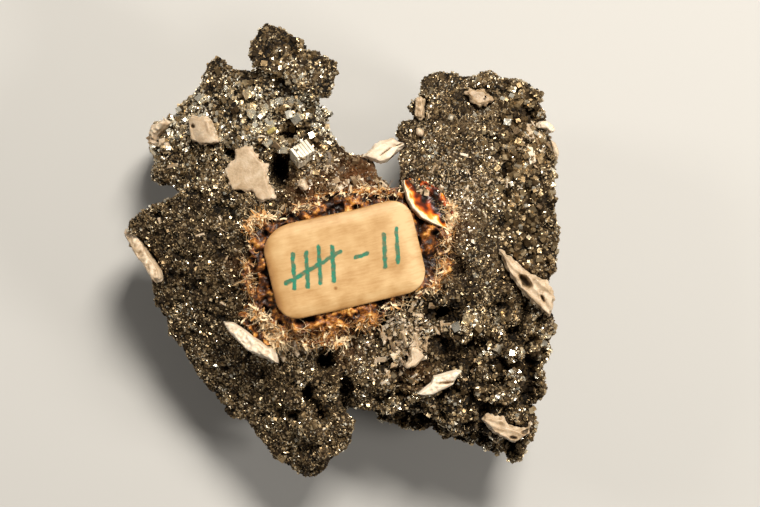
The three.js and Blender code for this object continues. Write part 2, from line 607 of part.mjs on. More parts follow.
function build() {
  const specimen = new THREE.Group();
  const place = (name, solid, finish) => {
    const mesh = new THREE.Mesh(geometryOf(solid), finish);
    mesh.name = name;
    specimen.add(mesh);
  };

  const crystals = Object.entries(CALCITE);
  const sockets = crystals.map(([, crystal]) => calciteSocket(crystal));
  const cut = (solid, holes) => holes.reduce((rest, hole) => rest.subtract(hole), solid);

  const glue = cut(gluePad(), [...sockets, labelSolid(GAP)]);
  const glueSeat = gluePad().translate([0, 0, -GAP]);
  place("pyrite_mass", cut(pyriteMass(), [...sockets, glueSeat]), finishes.pyrite);
  place("glue_pad", glue, finishes.glue);
  place("card_label", labelSolid(), finishes.card);
  for (const [name, crystal] of crystals) place(name, calciteCrystal(crystal), finishes.calcite);
  return specimen;
}

export default build();
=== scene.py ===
"""Pyrite pseudomorph after pyrrhotite, lying on its display side with the collector's label up.

Metres. +X is to the right and +Y up the labelled side, seen with the label facing the viewer, and
+Z is up, out of the label. The table is at Z = 0.
"""

import math

import bpy
import numpy as np
from mathutils import Euler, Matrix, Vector, noise
from mathutils.bvhtree import BVHTree


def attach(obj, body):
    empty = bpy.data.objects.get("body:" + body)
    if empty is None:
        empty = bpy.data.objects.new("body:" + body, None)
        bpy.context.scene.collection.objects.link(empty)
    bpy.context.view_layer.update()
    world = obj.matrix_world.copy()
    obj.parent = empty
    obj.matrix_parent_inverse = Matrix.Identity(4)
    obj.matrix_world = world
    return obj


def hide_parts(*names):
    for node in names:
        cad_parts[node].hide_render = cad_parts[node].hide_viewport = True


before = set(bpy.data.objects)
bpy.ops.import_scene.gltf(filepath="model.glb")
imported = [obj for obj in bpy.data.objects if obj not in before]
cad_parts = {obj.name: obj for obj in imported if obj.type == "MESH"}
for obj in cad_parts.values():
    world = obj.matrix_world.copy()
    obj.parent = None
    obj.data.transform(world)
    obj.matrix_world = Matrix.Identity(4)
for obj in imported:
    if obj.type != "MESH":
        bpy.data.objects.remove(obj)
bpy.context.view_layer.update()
MM = 0.001

# The table, the lamps and the camera
# A pale sheet of matt paper, one soft lamp from beyond the top edge and two weak ones. The camera
# looks straight down, as for a picture of the back of a specimen.

PICTURE_MM = 98.8  # width of the picture at the height of the label
PICTURE_HEIGHT = 22 * MM
PICTURE_MIDDLE = (5.33 * MM, -0.13 * MM)
LENS, SENSOR = 100, 36


def as_object(name, data):
    """A new object with this data, in the scene"""
    piece = bpy.data.objects.new(name, data)
    bpy.context.scene.collection.objects.link(piece)
    return piece


def surface(name, roughness, metallic=0.0, sunk_light=None):
    """A new material, its node tree and its Principled BSDF. The light that sinks into it is given
    as a weight, its reach in red, green and blue, and its depth in millimetres."""
    material = bpy.data.materials.new(name)
    material.use_nodes = True
    shader = material.node_tree.nodes["Principled BSDF"]
    shader.inputs["Roughness"].default_value = roughness
    shader.inputs["Metallic"].default_value = metallic
    if sunk_light:
        weight, reach, depth = sunk_light
        shader.inputs["Subsurface Weight"].default_value = weight
        shader.inputs["Subsurface Radius"].default_value = reach
        shader.inputs["Subsurface Scale"].default_value = depth * MM
    return material, material.node_tree, shader


bpy.ops.object.select_all(action="DESELECT")
bpy.ops.mesh.primitive_plane_add(size=3)
table = bpy.context.object
table.name = "table"
paper, _, paper_shader = surface("table_paper", 0.85)
paper_shader.inputs["Base Color"].default_value = (0.50, 0.49, 0.47, 1)
table.data.materials.append(paper)

for name, place, size, power, colour in (
    ("window_lamp", (0.11, 0.25, 0.44), 0.14, 3.8, (1.0, 0.95, 0.87)),
    ("left_lamp", (-0.36, 0.16, 0.30), 0.12, 0.5, (1.0, 0.96, 0.90)),
    ("right_lamp", (0.38, -0.10, 0.26), 0.10, 0.9, (1.0, 0.96, 0.90)),
):
    bpy.ops.object.light_add(type="AREA", location=place)
    lamp = bpy.context.object
    lamp.name = name
    lamp.data.size = size
    lamp.data.energy = power
    lamp.data.color = colour
    aim = Vector((0, 0, 0.015)) - Vector(place)
    lamp.rotation_euler = aim.to_track_quat("-Z", "Y").to_euler()

world = bpy.data.worlds.new("studio")
world.use_nodes = True
world.node_tree.nodes["Background"].inputs["Color"].default_value = (1.0, 0.95, 0.88, 1)
world.node_tree.nodes["Background"].inputs["Strength"].default_value = 0.065
bpy.context.scene.world = world
bpy.context.scene.view_settings.view_transform = "Standard"

camera_data = bpy.data.cameras.new("camera")
camera_data.lens = LENS
camera_data.sensor_width = SENSOR
camera_data.clip_start = 0.01
camera = as_object("camera", camera_data)
camera.location = (*PICTURE_MIDDLE, PICTURE_HEIGHT + PICTURE_MM * MM * LENS / SENSOR)
bpy.context.scene.camera = camera

# The pyrite mass
# Thick hexagonal plates of pyrrhotite that turned to pyrite long ago, grown into one another. What
# is left is a rough crust: knobs and clumps of grains, with shade painted dark into the gaps
# between them.

CRUST_VOXEL = 0.395 * MM
ABOVE_TABLE = 0.1 * MM  # the crust stays this far above the table
CAVITIES = (  # middle, reach to the right and up, depth, all in millimetres
    ((12.9, -7.9), (1.7, 0.8), 2.8),
    ((5.4, -8.7), (0.6, 1.1), 2.2),
    ((-1.9, -14.0), (1.1, 1.2), 2.8),
    ((-3.9, -18.6), (0.6, 1.3), 2.2),
    ((-2.7, -20.8), (0.6, 1.2), 1.8),
    ((0.5, -18.2), (0.6, 1.9), 2.6),
    ((-6.1, -21.6), (0.7, 0.6), 1.6),
    ((-7.6, 11.0), (0.9, 1.9), 2.8),
    ((-14.6, 13.3), (0.7, 0.7), 1.6),
    ((-6.5, 15.2), (1.2, 0.45), 1.8),
    ((-23.8, 5.0), (0.5, 0.5), 1.2),
    ((24.8, 17.8), (0.8, 1.1), 1.8),
    ((21.8, 10.8), (0.7, 1.8), 1.0),
    ((15.3, -2.0), (1.0, 1.3), 1.4),
    ((16.8, -12.3), (1.7, 0.5), 2.0),
    ((22.4, -10.2), (1.3, 0.5), 1.8),
    ((17.0, -15.4), (0.6, 1.3), 1.8),
    ((20.0, -7.0), (1.2, 0.5), 1.8),
    ((20.2, -16.9), (1.4, 0.5), 1.6),
    ((8.0, -18.6), (1.9, 0.5), 1.8),
    ((13.4, -11.8), (0.5, 1.3), 1.6),
    ((25.2, -16.0), (0.5, 1.1), 1.4),
    ((15.2, -17.8), (0.5, 1.1), 1.6),
)


def solo(piece):
    """Makes the piece the only one selected, and the active one."""
    bpy.ops.object.select_all(action="DESELECT")
    piece.select_set(True)
    bpy.context.view_layer.objects.active = piece


def worked(piece, kind, **settings):
    """Works the piece with one modifier and applies it."""
    solo(piece)
    bpy.ops.object.modifier_add(type=kind)
    modifier = piece.modifiers[-1]
    for key, value in settings.items():
        setattr(modifier, key, value)
    bpy.ops.object.modifier_apply(modifier=modifier.name)


def form_of(node, name, voxel, rounds):
    """A new closed mesh with the form of a CAD node, of faces of one size, smoothed a little"""
    piece = as_object(name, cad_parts[node].data.copy())
    piece.data.materials.clear()
    solo(piece)
    bpy.ops.object.mode_set(mode="EDIT")
    bpy.ops.mesh.select_all(action="SELECT")
    bpy.ops.mesh.remove_doubles(threshold=1e-6)
    bpy.ops.object.mode_set(mode="OBJECT")
    smooth = node != "pyrite_mass"  # its crust stays faceted
    worked(piece, "REMESH", mode="VOXEL", voxel_size=voxel, use_smooth_shade=smooth)
    worked(piece, "SMOOTH", factor=0.5, iterations=rounds)
    return piece


def corners_of(piece):
    """The places and the normals of the piece's vertices, as two arrays"""
    mesh = piece.data
    places = np.empty(3 * len(mesh.vertices), np.float32)
    normals = np.empty(3 * len(mesh.vertices), np.float32)
    mesh.vertices.foreach_get("co", places)
    mesh.vertex_normals.foreach_get("vector", normals)
    return places.reshape(-1, 3).astype(float), normals.reshape(-1, 3).astype(float)


def move_corners(piece, places):
    """Moves the piece's vertices to these places."""
    piece.data.vertices.foreach_set("co", places.astype(np.float32).ravel())
    piece.data.update()


def keep_value(piece, name, values):
    """Keeps one number for each vertex of the piece, for its material to read."""
    attribute = piece.data.attributes.new(name, "FLOAT", "POINT")
    attribute.data.foreach_set("value", np.asarray(values, np.float32))


def rise(values, low, high):
    """0 below low, 1 above high and smooth between them"""
    share = np.clip((values - low) / (high - low), 0, 1)
    return share * share * (3 - 2 * share)


def bell(places, middle, reach):
    """1 at a place on the face, falling to 0 away from it. Both are in millimetres."""
    away = np.hypot(places[:, 0] / MM - middle[0], places[:, 1] / MM - middle[1])
    return np.exp(-((away / reach) ** 2))


def along_and_up(places, middle, degrees):
    """How far places lie along and up a turned frame on the face, in millimetres from its middle"""
    angle = math.radians(degrees)
    dx, dy = places[:, 0] / MM - middle[0], places[:, 1] / MM - middle[1]
    cosine, sine = math.cos(angle), math.sin(angle)
    return dx * cosine + dy * sine, dy * cosine - dx * sine


def oval(places, middle, reach, degrees=0):
    """0 in the middle of an oval on the face, 1 on its outline and more outside it"""
    along, up = along_and_up(places, middle, degrees)
    return (along / reach[0]) ** 2 + (up / reach[1]) ** 2


def sum_of_bells(places, bells):
    """Bells added up, each given by its middle, its reach and its height"""
    return sum(height * bell(places, middle, reach) for middle, reach, height in bells)


def swell(places, size, seed):
    """Smooth relief from -1 to 1 with bumps about this many millimetres across"""
    shift = Vector((7.3, 3.1, 5.7)) * seed
    return np.array([noise.noise(Vector(p) / (size * MM) + shift) for p in places])


def gaps(places, size, seed):
    """Distance to the nearest lump's crown, near 0 on a crown and near 1 in the gaps"""
    shift = Vector((7.3, 3.1, 5.7)) * seed
    return np.array([noise.voronoi(Vector(p) / (size * MM) + shift)[0][0] for p in places])


def zones(places):
    """How much a place belongs to the lower right, the upper plates, the right edge and the
    smooth middle of the right plate, each 0 to 1"""
    x, y = places[:, 0] / MM, places[:, 1] / MM
    lower_right = rise(x, 3, 8) * rise(-y, 5, 8.5)
    upper = rise(y, 11, 15) * rise(-x, -2, 1) * (1 - 0.5 * rise(y, 20, 23))
    right_edge = rise(x, 19.5, 22.5) * (1 - 0.65 * rise(x, 25, 27.5)) * rise(y, -6, 1)
    return lower_right, upper, right_edge, bell(places, (14.5, 6.0), 8.5)


mass = form_of("pyrite_mass", "pyrite_crust", CRUST_VOXEL, 1)
crust_places, crust_normals = corners_of(mass)
lower_right, upper, right_edge, smooth_middle = zones(crust_places)
knob = np.sqrt(np.clip(1 - (gaps(crust_places, 2.9, 1) / 0.66) ** 2, 0, 1))
clump = 0.5 - gaps(crust_places, 0.95, 2)
split = rise(swell(crust_places, 1.1, 3), 0.10, 0.5)
clustered = bell(crust_places, (-4.2, 17.2), 4.0)
knobbly = 1.90 * lower_right + 0.22 * upper + 0.15 * right_edge + 0.85 * clustered
stand = (knob - 0.75) * (0.10 + knobbly)
stand += clump * (0.30 + 0.25 * lower_right + 0.12 * upper - 0.12 * smooth_middle)
split *= 0.42 + 0.45 * lower_right + 0.25 * upper + 0.40 * right_edge - 0.25 * smooth_middle
stand += 0.25 * swell(crust_places, 3.6, 4) - split
stand *= 1 - 0.5 * rise(crust_places[:, 1] / MM, 19, 22)  # the crest keeps its corners
hollow = np.zeros(len(crust_places))
for middle, reach, depth in CAVITIES:
    hollow += depth * np.exp(-(oval(crust_places, middle, reach) ** 1.5))
hollow *= rise(crust_places[:, 2] / MM, 11, 15) * rise(crust_normals[:, 2], -0.2, 0.3)
crust_places += crust_normals * (stand * MM)[:, None]
crust_places[:, 2] -= hollow * MM
crust_places[:, 2] = np.maximum(crust_places[:, 2], ABOVE_TABLE)
move_corners(mass, crust_places)
# painted shade: the splits, the cavities and the valleys between the knobs darken the crust's
# colour
valley = rise(0.75 - knob, 0.0, 0.75)
valley *= 0.15 + 1.15 * lower_right + 0.45 * upper + 0.45 * clustered
painted_crust_shade = np.clip(1.1 * split + 0.45 * hollow + valley, 0, 1)


def add_node(tree, kind, inputs=(), **settings):
    """A new node, with numbers or the sockets that feed it as its inputs"""
    node = tree.nodes.new("ShaderNode" + kind)
    for key, value in settings.items():
        setattr(node, key, value)
    for key, value in dict(inputs).items():
        if isinstance(value, bpy.types.NodeSocket):
            tree.links.new(value, node.inputs[key])
        else:
            node.inputs[key].default_value = value
    return node


def value_of(tree, operation, *inputs):
    """The result of a Math node"""
    return add_node(tree, "Math", dict(enumerate(inputs)), operation=operation).outputs[0]


def vector_of(tree, operation, *inputs, result="Vector", **named):
    """The result of a Vector Math node"""
    inputs = {**dict(enumerate(inputs)), **named}
    return add_node(tree, "VectorMath", inputs, operation=operation).outputs[result]


def object_place(tree):
    """The object's own coordinates"""
    return add_node(tree, "TexCoord").outputs["Object"]


def kept_value(tree, name):
    """The value that keep_value kept under this name"""
    return add_node(tree, "Attribute", attribute_name=name).outputs["Fac"]


def noise_on(tree, place, scale, detail=2, roughness=0.5):
    """Noise on these coordinates, about 0.5"""
    inputs = {"Vector": place, "Scale": scale, "Detail": detail, "Roughness": roughness}
    return add_node(tree, "TexNoise", inputs).outputs["Fac"]


def between(tree, value, low, high, to_low=0.0, to_high=1.0):
    """A value taken from one range to another"""
    inputs = {"Value": value, "From Min": low, "From Max": high}
    inputs |= {"To Min": to_low, "To Max": to_high}
    return add_node(tree, "MapRange", inputs).outputs["Result"]


def coloured(tree, value, *stops):
    """The colour for a value on a ramp through these stops, each a position and a colour"""
    node = add_node(tree, "ValToRGB", {"Fac": value})
    elements = node.color_ramp.elements
    for element, (position, colour) in zip(elements, (stops[0], stops[-1])):
        element.position, element.color = position, (*colour, 1)
    for position, colour in stops[1:-1]:
        elements.new(position).color = (*colour, 1)
    return node.outputs["Color"]


def mixed(tree, share, colour, other):
    """Two colours mixed by the share of the second"""
    inputs = {"Factor": share, "A": colour, "B": other}
    return add_node(tree, "Mix", inputs, data_type="RGBA").outputs["Result"]


def shader_group(name, inputs, outputs):
    """A new shader node group, what it is given and what it gives back"""
    group = bpy.data.node_groups.new(name, "ShaderNodeTree")
    for in_out, sockets in (("INPUT", inputs), ("OUTPUT", outputs)):
        for label, kind in sockets:
            group.interface.new_socket(label, in_out=in_out, socket_type="NodeSocket" + kind)
    given, given_back = group.nodes.new("NodeGroupInput"), group.nodes.new("NodeGroupOutput")
    return group, given.outputs, given_back.inputs


def tarnish_and_shade_group():
    """Shader node group: pyrite's colour, roughness and facets from a tone, 0 in the hollows, where
    shade is painted in, to 1 on a clean face, and from how far iron stain has browned it."""
    group, given, given_back = shader_group(
        "TarnishAndShade",
        [(name, "Float") for name in ("Tone", "Stain", "Gloss", "Facets")],
        [("Color", "Color"), ("Roughness", "Float"), ("Normal", "Vector")],
    )
    place = object_place(group)

    # small facets, each with a tilt of its own
    facets = add_node(group, "TexVoronoi", {"Vector": place, "Scale": 3400})
    tilt = vector_of(group, "SUBTRACT", facets.outputs["Color"], (0.5, 0.5, 0.5))
    tilt = vector_of(group, "SCALE", tilt, Scale=given["Facets"])
    face = add_node(group, "NewGeometry").outputs["Normal"]
    face = vector_of(group, "NORMALIZE", vector_of(group, "ADD", face, tilt))
    group.links.new(face, given_back["Normal"])

    # patches of thinner and thicker tarnish, duller where it is thick
    patches = value_of(group, "MULTIPLY_ADD", noise_on(group, place, 380, 7), 0.6, -0.3)
    tone = value_of(group, "ADD", given["Tone"], patches)
    colours = coloured(
        group,
        tone,
        (0.0, (0.010, 0.007, 0.004)),
        (0.25, (0.062, 0.038, 0.017)),
        (0.5, (0.245, 0.168, 0.083)),
        (0.75, (0.60, 0.465, 0.28)),
        (1.0, (0.93, 0.88, 0.74)),
    )
    browned = mixed(group, given["Stain"], colours, (0.15, 0.055, 0.014, 1))
    group.links.new(browned, given_back["Color"])
    dulled = between(group, tone, 0.1, 0.9, 0.35, 0.0)
    group.links.new(value_of(group, "ADD", dulled, given["Gloss"]), given_back["Roughness"])
    return group


TARNISH_AND_SHADE = tarnish_and_shade_group()


def pyrite_finish(name, gloss, facets, bare=0.8):
    """A material of tarnished pyrite, more metallic the barer it is of tarnish. It reads the
    piece's own tone, which carries painted light and shade, and stain."""
    material, tree, shader = surface(name, 0.4, bare)
    inputs = {"Gloss": gloss, "Facets": facets}
    inputs["Tone"], inputs["Stain"] = kept_value(tree, "tone"), kept_value(tree, "stain")
    tarnish_and_shade = add_node(tree, "Group", inputs, node_tree=TARNISH_AND_SHADE).outputs
    tree.links.new(tarnish_and_shade["Color"], shader.inputs["Base Color"])
    tree.links.new(tarnish_and_shade["Roughness"], shader.inputs["Roughness"])
    tree.links.new(tarnish_and_shade["Normal"], shader.inputs["Normal"])
    return material


STAINS = (  # middle, reach, how brown
    ((2.5, 9.0), 3.4, 0.9), ((-4.0, 7.2), 2.6, 0.6), ((14.0, 4.0), 2.4, 0.5),
    ((12.5, -1.5), 2.2, 0.5), ((0.5, -12.0), 2.4, 0.4), ((-12.5, -2.0), 1.8, 0.4),
    ((-25.0, 14.0), 2.5, 0.25), ((10.0, -15.6), 2.0, 0.3),
)  # fmt: skip


def stain_at(places):
    """How far iron stain and old glue have browned the pyrite around the label, 0 to 1"""
    return np.clip(sum_of_bells(places, STAINS), 0, 0.9) * rise(places[:, 2] / MM, 15, 19)


# the crust's tone, painted light and shade: lighter on the crowns of its clumps, darker in its gaps
# and hollows
keep_value(mass, "tone", np.clip(0.20 + 0.35 * clump - 0.4 * painted_crust_shade, 0, 1))
keep_value(mass, "stain", stain_at(crust_places))
mass.data.materials.append(pyrite_finish("pyrite_crust", 0.36, 1.0, 0.7))
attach(mass, "root")
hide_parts("pyrite_mass")

# The druse
# Small pyrite crystals that cover the crust on every side: corners of cubes, sharp or cut flat, and
# whole cubes. They are coarser on the rims, the right edge and the upper plates, and neighbours
# share their directions.

OTHERS_GAP = 0.3 * MM  # no crystal is nearer than this to glue, card or calcite
PATCH = 1.7 * MM  # neighbours share their directions over this width
SUNK = 0.10  # how far a crystal stands in the crust, as a share of its size
# how far the crystals' tones spread at random, and how much painted shade darkens crystals in the
# crust's hollows
TONE_SPREAD, SHADE_PAINTED_IN_HOLLOWS = 0.22, 0.58
SKY = 40 * MM  # above everything, where rays down to the face start

CORNER = (
    [(0, 0, 0.30), (0.76, 0, -0.25), (-0.38, 0.66, -0.25), (-0.38, -0.66, -0.25)],
    [(0, 1, 2), (0, 2, 3), (0, 3, 1), (1, 3, 2)],
)
CUT_CORNER = (
    [(0.38, 0, 0.18), (-0.19, 0.33, 0.18), (-0.19, -0.33, 0.18)]
    + [(0.76, 0, -0.28), (-0.38, 0.66, -0.28), (-0.38, -0.66, -0.28)],
    [(0, 1, 2), (0, 3, 4, 1), (1, 4, 5, 2), (2, 5, 3, 0), (3, 5, 4)],
)
CUBE = (
    [(x, y, z) for x in (-0.5, 0.5) for y in (-0.5, 0.5) for z in (-0.5, 0.5)],
    [(0, 1, 3, 2), (4, 6, 7, 5), (0, 4, 5, 1), (2, 3, 7, 6), (0, 2, 6, 4), (1, 5, 7, 3)],
)
BIG_CRYSTALS = (  # place on the face and width, in millimetres
    (-11.4, 18.1, 1.4), (-9.2, 14.2, 2.0), (-7.5, 13.4, 1.6), (-3.4, 15.2, 1.4), (-2.0, 13.6, 1.3),
    (-5.4, 17.4, 1.7), (-7.6, 19.4, 1.5), (-6.6, 17.9, 1.5), (-1.2, 11.6, 1.3), (0.6, 10.7, 1.2),
    (2.2, 11.7, 1.2), (-3.0, 10.4, 1.2), (-8.9, 16.7, 1.1), (-14.0, 21.2, 1.0), (-15.9, 24.0, 1.1),
    (21.4, 12.4, 1.3), (22.5, 9.7, 1.4), (20.9, 8.4, 1.1), (23.1, 14.2, 1.2), (24.8, 15.0, 1.2),
    (26.2, 14.4, 1.2), (21.9, 16.8, 1.3), (20.5, 10.8, 1.1), (23.7, 11.5, 1.1), (22.3, 6.2, 1.1),
    (24.4, 4.0, 1.1), (26.4, 1.9, 1.1), (25.2, 9.0, 1.1), (16.8, -8.7, 1.8), (15.2, -9.6, 1.5),
    (17.9, -9.9, 1.2), (14.3, -10.6, 1.3), (20.4, -12.4, 1.2), (19.4, -10.4, 1.1),
    (22.3, -13.0, 1.2), (12.6, 18.4, 1.2), (14.4, 17.6, 1.1), (9.4, 17.7, 1.1),
    (-4.6, -21.4, 1.3), (-3.4, -22.6, 1.2), (-25.4, 12.6, 1.1), (-22.9, 16.2, 1.1),
    (18.2, 22.4, 1.0), (13.4, 22.9, 1.0), (22.6, 21.2, 1.1),
)  # fmt: skip


def turned_out(pattern):
    """The pattern with every face wound so that it looks outwards"""
    corners, faces = pattern
    points = [Vector(c) for c in corners]
    wound = []
    for face in faces:
        middle = sum((points[i] for i in face), Vector()) / len(face)
        across = (points[face[1]] - points[face[0]]).cross(points[face[2]] - points[face[1]])
        wound.append(tuple(face) if across.dot(middle) > 0 else tuple(reversed(face)))
    return corners, wound


def points_on(piece, count, roll, weight, value):
    """Places at random on the piece's surface, more of them where weight is high, with the
    surface's normals and the given vertex value there"""
    mesh = piece.data
    mesh.calc_loop_triangles()
    corner = np.empty(3 * len(mesh.loop_triangles), np.int32)
    mesh.loop_triangles.foreach_get("vertices", corner)
    corner = corner.reshape(-1, 3)
    places, _ = corners_of(piece)
    triangles = places[corner]
    across = np.cross(triangles[:, 1] - triangles[:, 0], triangles[:, 2] - triangles[:, 0])
    area = np.linalg.norm(across, axis=1)
    facing = across / np.maximum(area, 1e-18)[:, None]
    share = area * weight(triangles.mean(axis=1), facing)
    chosen = roll.choice(len(share), count, p=share / share.sum())
    u, v = roll.random((2, count, 1))
    over = (u + v) > 1
    u, v = np.where(over, 1 - u, u), np.where(over, 1 - v, v)
    a, b, c = (triangles[chosen, i] for i in range(3))
    return a + u * (b - a) + v * (c - a), facing[chosen], value[corner[chosen]].mean(axis=1)


def stood_on(facing, lean, roll, shared=0.0):
    """Rotations that stand each crystal on its place, leaning and turned at random or partly
    towards the direction that neighbours share"""
    up = facing + lean * roll.normal(size=facing.shape) + 0.5 * shared
    up /= np.linalg.norm(up, axis=1, keepdims=True)
    side = np.cross(up, roll.normal(size=facing.shape) * 0.5 + shared + 0.5 * up[:, ::-1])
    side /= np.linalg.norm(side, axis=1, keepdims=True)
    return np.stack([side, np.cross(up, side), up], axis=2)


def joined_copies(name, pattern, places, scales, rotations):
    """One mesh of copies of a small pattern, each with its own place, scales and rotation"""
    corners, faces = np.array(pattern[0], float), pattern[1]
    count, each = len(places), len(corners)
    stretched = corners[None] * scales[:, None, :]
    vertices = np.einsum("nij,nkj->nki", rotations, stretched) + places[:, None]
    ring = np.array([i for face in faces for i in face])
    loops = (ring[None] + each * np.arange(count)[:, None]).ravel()
    sides = np.tile([len(face) for face in faces], count)
    mesh = bpy.data.meshes.new(name)
    mesh.vertices.add(count * each)
    mesh.vertices.foreach_set("co", vertices.astype(np.float32).ravel())
    mesh.loops.add(len(loops))
    mesh.loops.foreach_set("vertex_index", loops.astype(np.int32))
    mesh.polygons.add(len(sides))
    mesh.polygons.foreach_set("loop_start", (np.cumsum(sides) - sides).astype(np.int32))
    mesh.update(calc_edges=True)
    mesh.validate()
    mesh.shade_flat()
    return as_object(name, mesh)


def crystal_size(places):
    """How large the crystals are at a place, in metres"""
    lower_right, upper, right_edge, smooth_middle = zones(places)
    size = 0.245 + 0.145 * right_edge + 0.10 * upper + 0.07 * lower_right - 0.03 * smooth_middle
    size += 0.03 * bell(places, (-6, 26), 5) + 0.04 * bell(places, (-5, -24), 5)
    return size * MM


BRIGHT_CLUSTERS = (  # middle, reach, how much brighter
    ((16.8, -8.8), 1.5, 0.26), ((13.6, -10.2), 1.4, 0.20), ((18.6, -11.6), 1.5, 0.12),
    ((9.0, -12.5), 3.0, 0.08), ((-5.0, -22.0), 2.0, 0.14), ((-3.4, -13.4), 1.4, 0.14),
    ((-11.5, 18.4), 1.6, 0.14), ((-8.0, 20.5), 2.4, 0.10), ((26.0, 15.8), 2.0, 0.16),
    ((21.5, 8.0), 3.0, 0.10), ((1.0, 11.8), 3.0, 0.12), ((-25.0, 9.0), 2.6, 0.12),
    ((15.2, 8.8), 3.4, 0.12), ((12.6, 14.0), 3.0, 0.06),
)  # fmt: skip


def tarnish_light_and_shade(places):
    """How much brighter the crystals are than elsewhere, below 0 where they are darker: painted
    light on the upper plates, which face the lamp, painted shade on the lower left and at the
    foot, and patches of barer and thicker tarnish at random
    """
    lower_right, upper, right_edge, _ = zones(places)
    x, y = places[:, 0] / MM, places[:, 1] / MM
    # painted shade on the lower left and at the foot, away from the lamp, and painted light on the
    # upper plates, which face it
    darker = rise(-x, 10, 16) * rise(-y, -9, -6) + 0.8 * rise(-y, 13, 17) * rise(-x, -2, 2)
    clean = 0.31 * upper - 0.10 * np.clip(darker, 0, 1) - 0.09 * right_edge
    clean += 0.07 * lower_right - 0.12 * rise(y, 20, 24) * rise(-x, -3, 1)
    clean += sum_of_bells(places, BRIGHT_CLUSTERS)
    return clean + 0.16 * swell(places, 3.4, 17) + 0.12 * swell(places, 1.3, 18)


def tree_of(pieces):
    """A search tree of the faces of several objects"""
    corners, faces = [], []
    for piece in pieces:
        start = len(corners)
        corners += [v.co.copy() for v in piece.data.vertices]
        faces += [tuple(start + i for i in face.vertices) for face in piece.data.polygons]
    return BVHTree.FromPolygons(corners, faces)


def below(tree, x, y):
    """The place on the face at x and y in millimetres, and its normal"""
    return tree.ray_cast(Vector((x * MM, y * MM, SKY)), Vector((0, 0, -1)))[:2]


others = tree_of([solid for node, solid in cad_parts.items() if node != "pyrite_mass"])


def druse(name, pattern, places, facing, depth, size, lean, gloss, roll, clean, facets=0.14):
    """One mesh of many small crystals, partly sunk in the crust"""
    clear = np.array([others.find_nearest(Vector(p), OTHERS_GAP)[0] is None for p in places])
    places, facing, depth, size = places[clear], facing[clear], depth[clear], size[clear]
    # smaller where the table is near
    size = np.minimum(size, 1.6 * np.maximum(places[:, 2] - size, 0) + ABOVE_TABLE)
    stretch = roll.uniform(0.8, 1.25, (len(places), 3))
    shared = np.array([noise.cell_vector(Vector(p) / PATCH) for p in places]) - 0.5
    rotations = stood_on(facing, lean, roll, shared)
    middles = places + facing * (SUNK * size)[:, None]
    pattern = turned_out(pattern)
    piece = joined_copies(name, pattern, middles, size[:, None] * stretch, rotations)
    # painted shade: crystals in the crust's hollows are darker
    tone = roll.normal(clean, TONE_SPREAD, len(places)) - SHADE_PAINTED_IN_HOLLOWS * depth
    tone = np.clip(tone + tarnish_light_and_shade(places), 0.03, 1)
    keep_value(piece, "tone", np.repeat(tone, len(pattern[0])))
    keep_value(piece, "stain", np.repeat(stain_at(places), len(pattern[0])))
    piece.data.materials.append(pyrite_finish(name, gloss, facets))
    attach(piece, "root")


def fine_share(middle, facing):
    """Where the fine crystals grow: most on the faces that look up"""
    return (0.5 + 0.8 * rise(facing[:, 2], 0.0, 0.6)) / (crystal_size(middle) / MM) ** 1.5


def coarse_share(middle, facing):
    """Where the coarse crystals grow: most in the coarse zones and along the rims"""
    return 0.12 + rise(crystal_size(middle) / MM, 0.29, 0.42)


for name, pattern, count, seed, share, wide, spread, lean, gloss, clean in (
    ("corner_druse_1", CORNER, 49500, 11, fine_share, 0.90, 0.26, 0.35, 0.28, 0.64),
    ("corner_druse_2", CORNER, 49500, 12, fine_share, 0.80, 0.26, 0.35, 0.34, 0.64),
    ("cut_corner_druse", CUT_CORNER, 24500, 13, fine_share, 0.85, 0.28, 0.35, 0.28, 0.64),
    ("cube_druse", CUBE, 11500, 14, fine_share, 0.90, 0.30, 0.6, 0.20, 0.64),
    ("coarse_druse", CUBE, 5500, 15, coarse_share, 1.25, 0.26, 1.0, 0.20, 0.66),
):
    roll = np.random.default_rng(seed)
    places, facing, depth = points_on(mass, count, roll, share, painted_crust_shade)
    size = crystal_size(places) * wide * roll.lognormal(0, spread, len(places))
    druse(name, pattern, places, facing, depth, size, lean, gloss, roll, clean)

crust_tree = tree_of([mass])
found = [(*below(crust_tree, x, y), size) for x, y, size in BIG_CRYSTALS]
places, facing, size = zip(*[spot for spot in found if spot[0] is not None])
size = np.array(size) * MM * 0.62  # a cube's side, from the width it shows on a corner
roll, depth = np.random.default_rng(16), np.zeros(len(places))
places, facing = np.array(places), np.array(facing)
druse("big_crystals", CUBE, places, facing, depth, size, 0.8, 0.24, roll, 0.64, facets=0.24)

# The striated cube
# One clean cube of pyrite above the label, bright, built up of thin growth layers whose edges
# groove its faces. The grooves are painted darker, as shade.

CUBE_MIDDLE, CUBE_SIDES = (-4.7, 12.7, 23.75), (2.5, 1.9, 2.4)
CUBE_TURN = Euler((-0.35, 0.3, math.radians(32)))
GROOVES, GROOVE, GROOVE_DEPTH = 5, 0.09, 0.10
SLAB = (CUBE_SIDES[0] - GROOVES * GROOVE) / (GROOVES + 1)

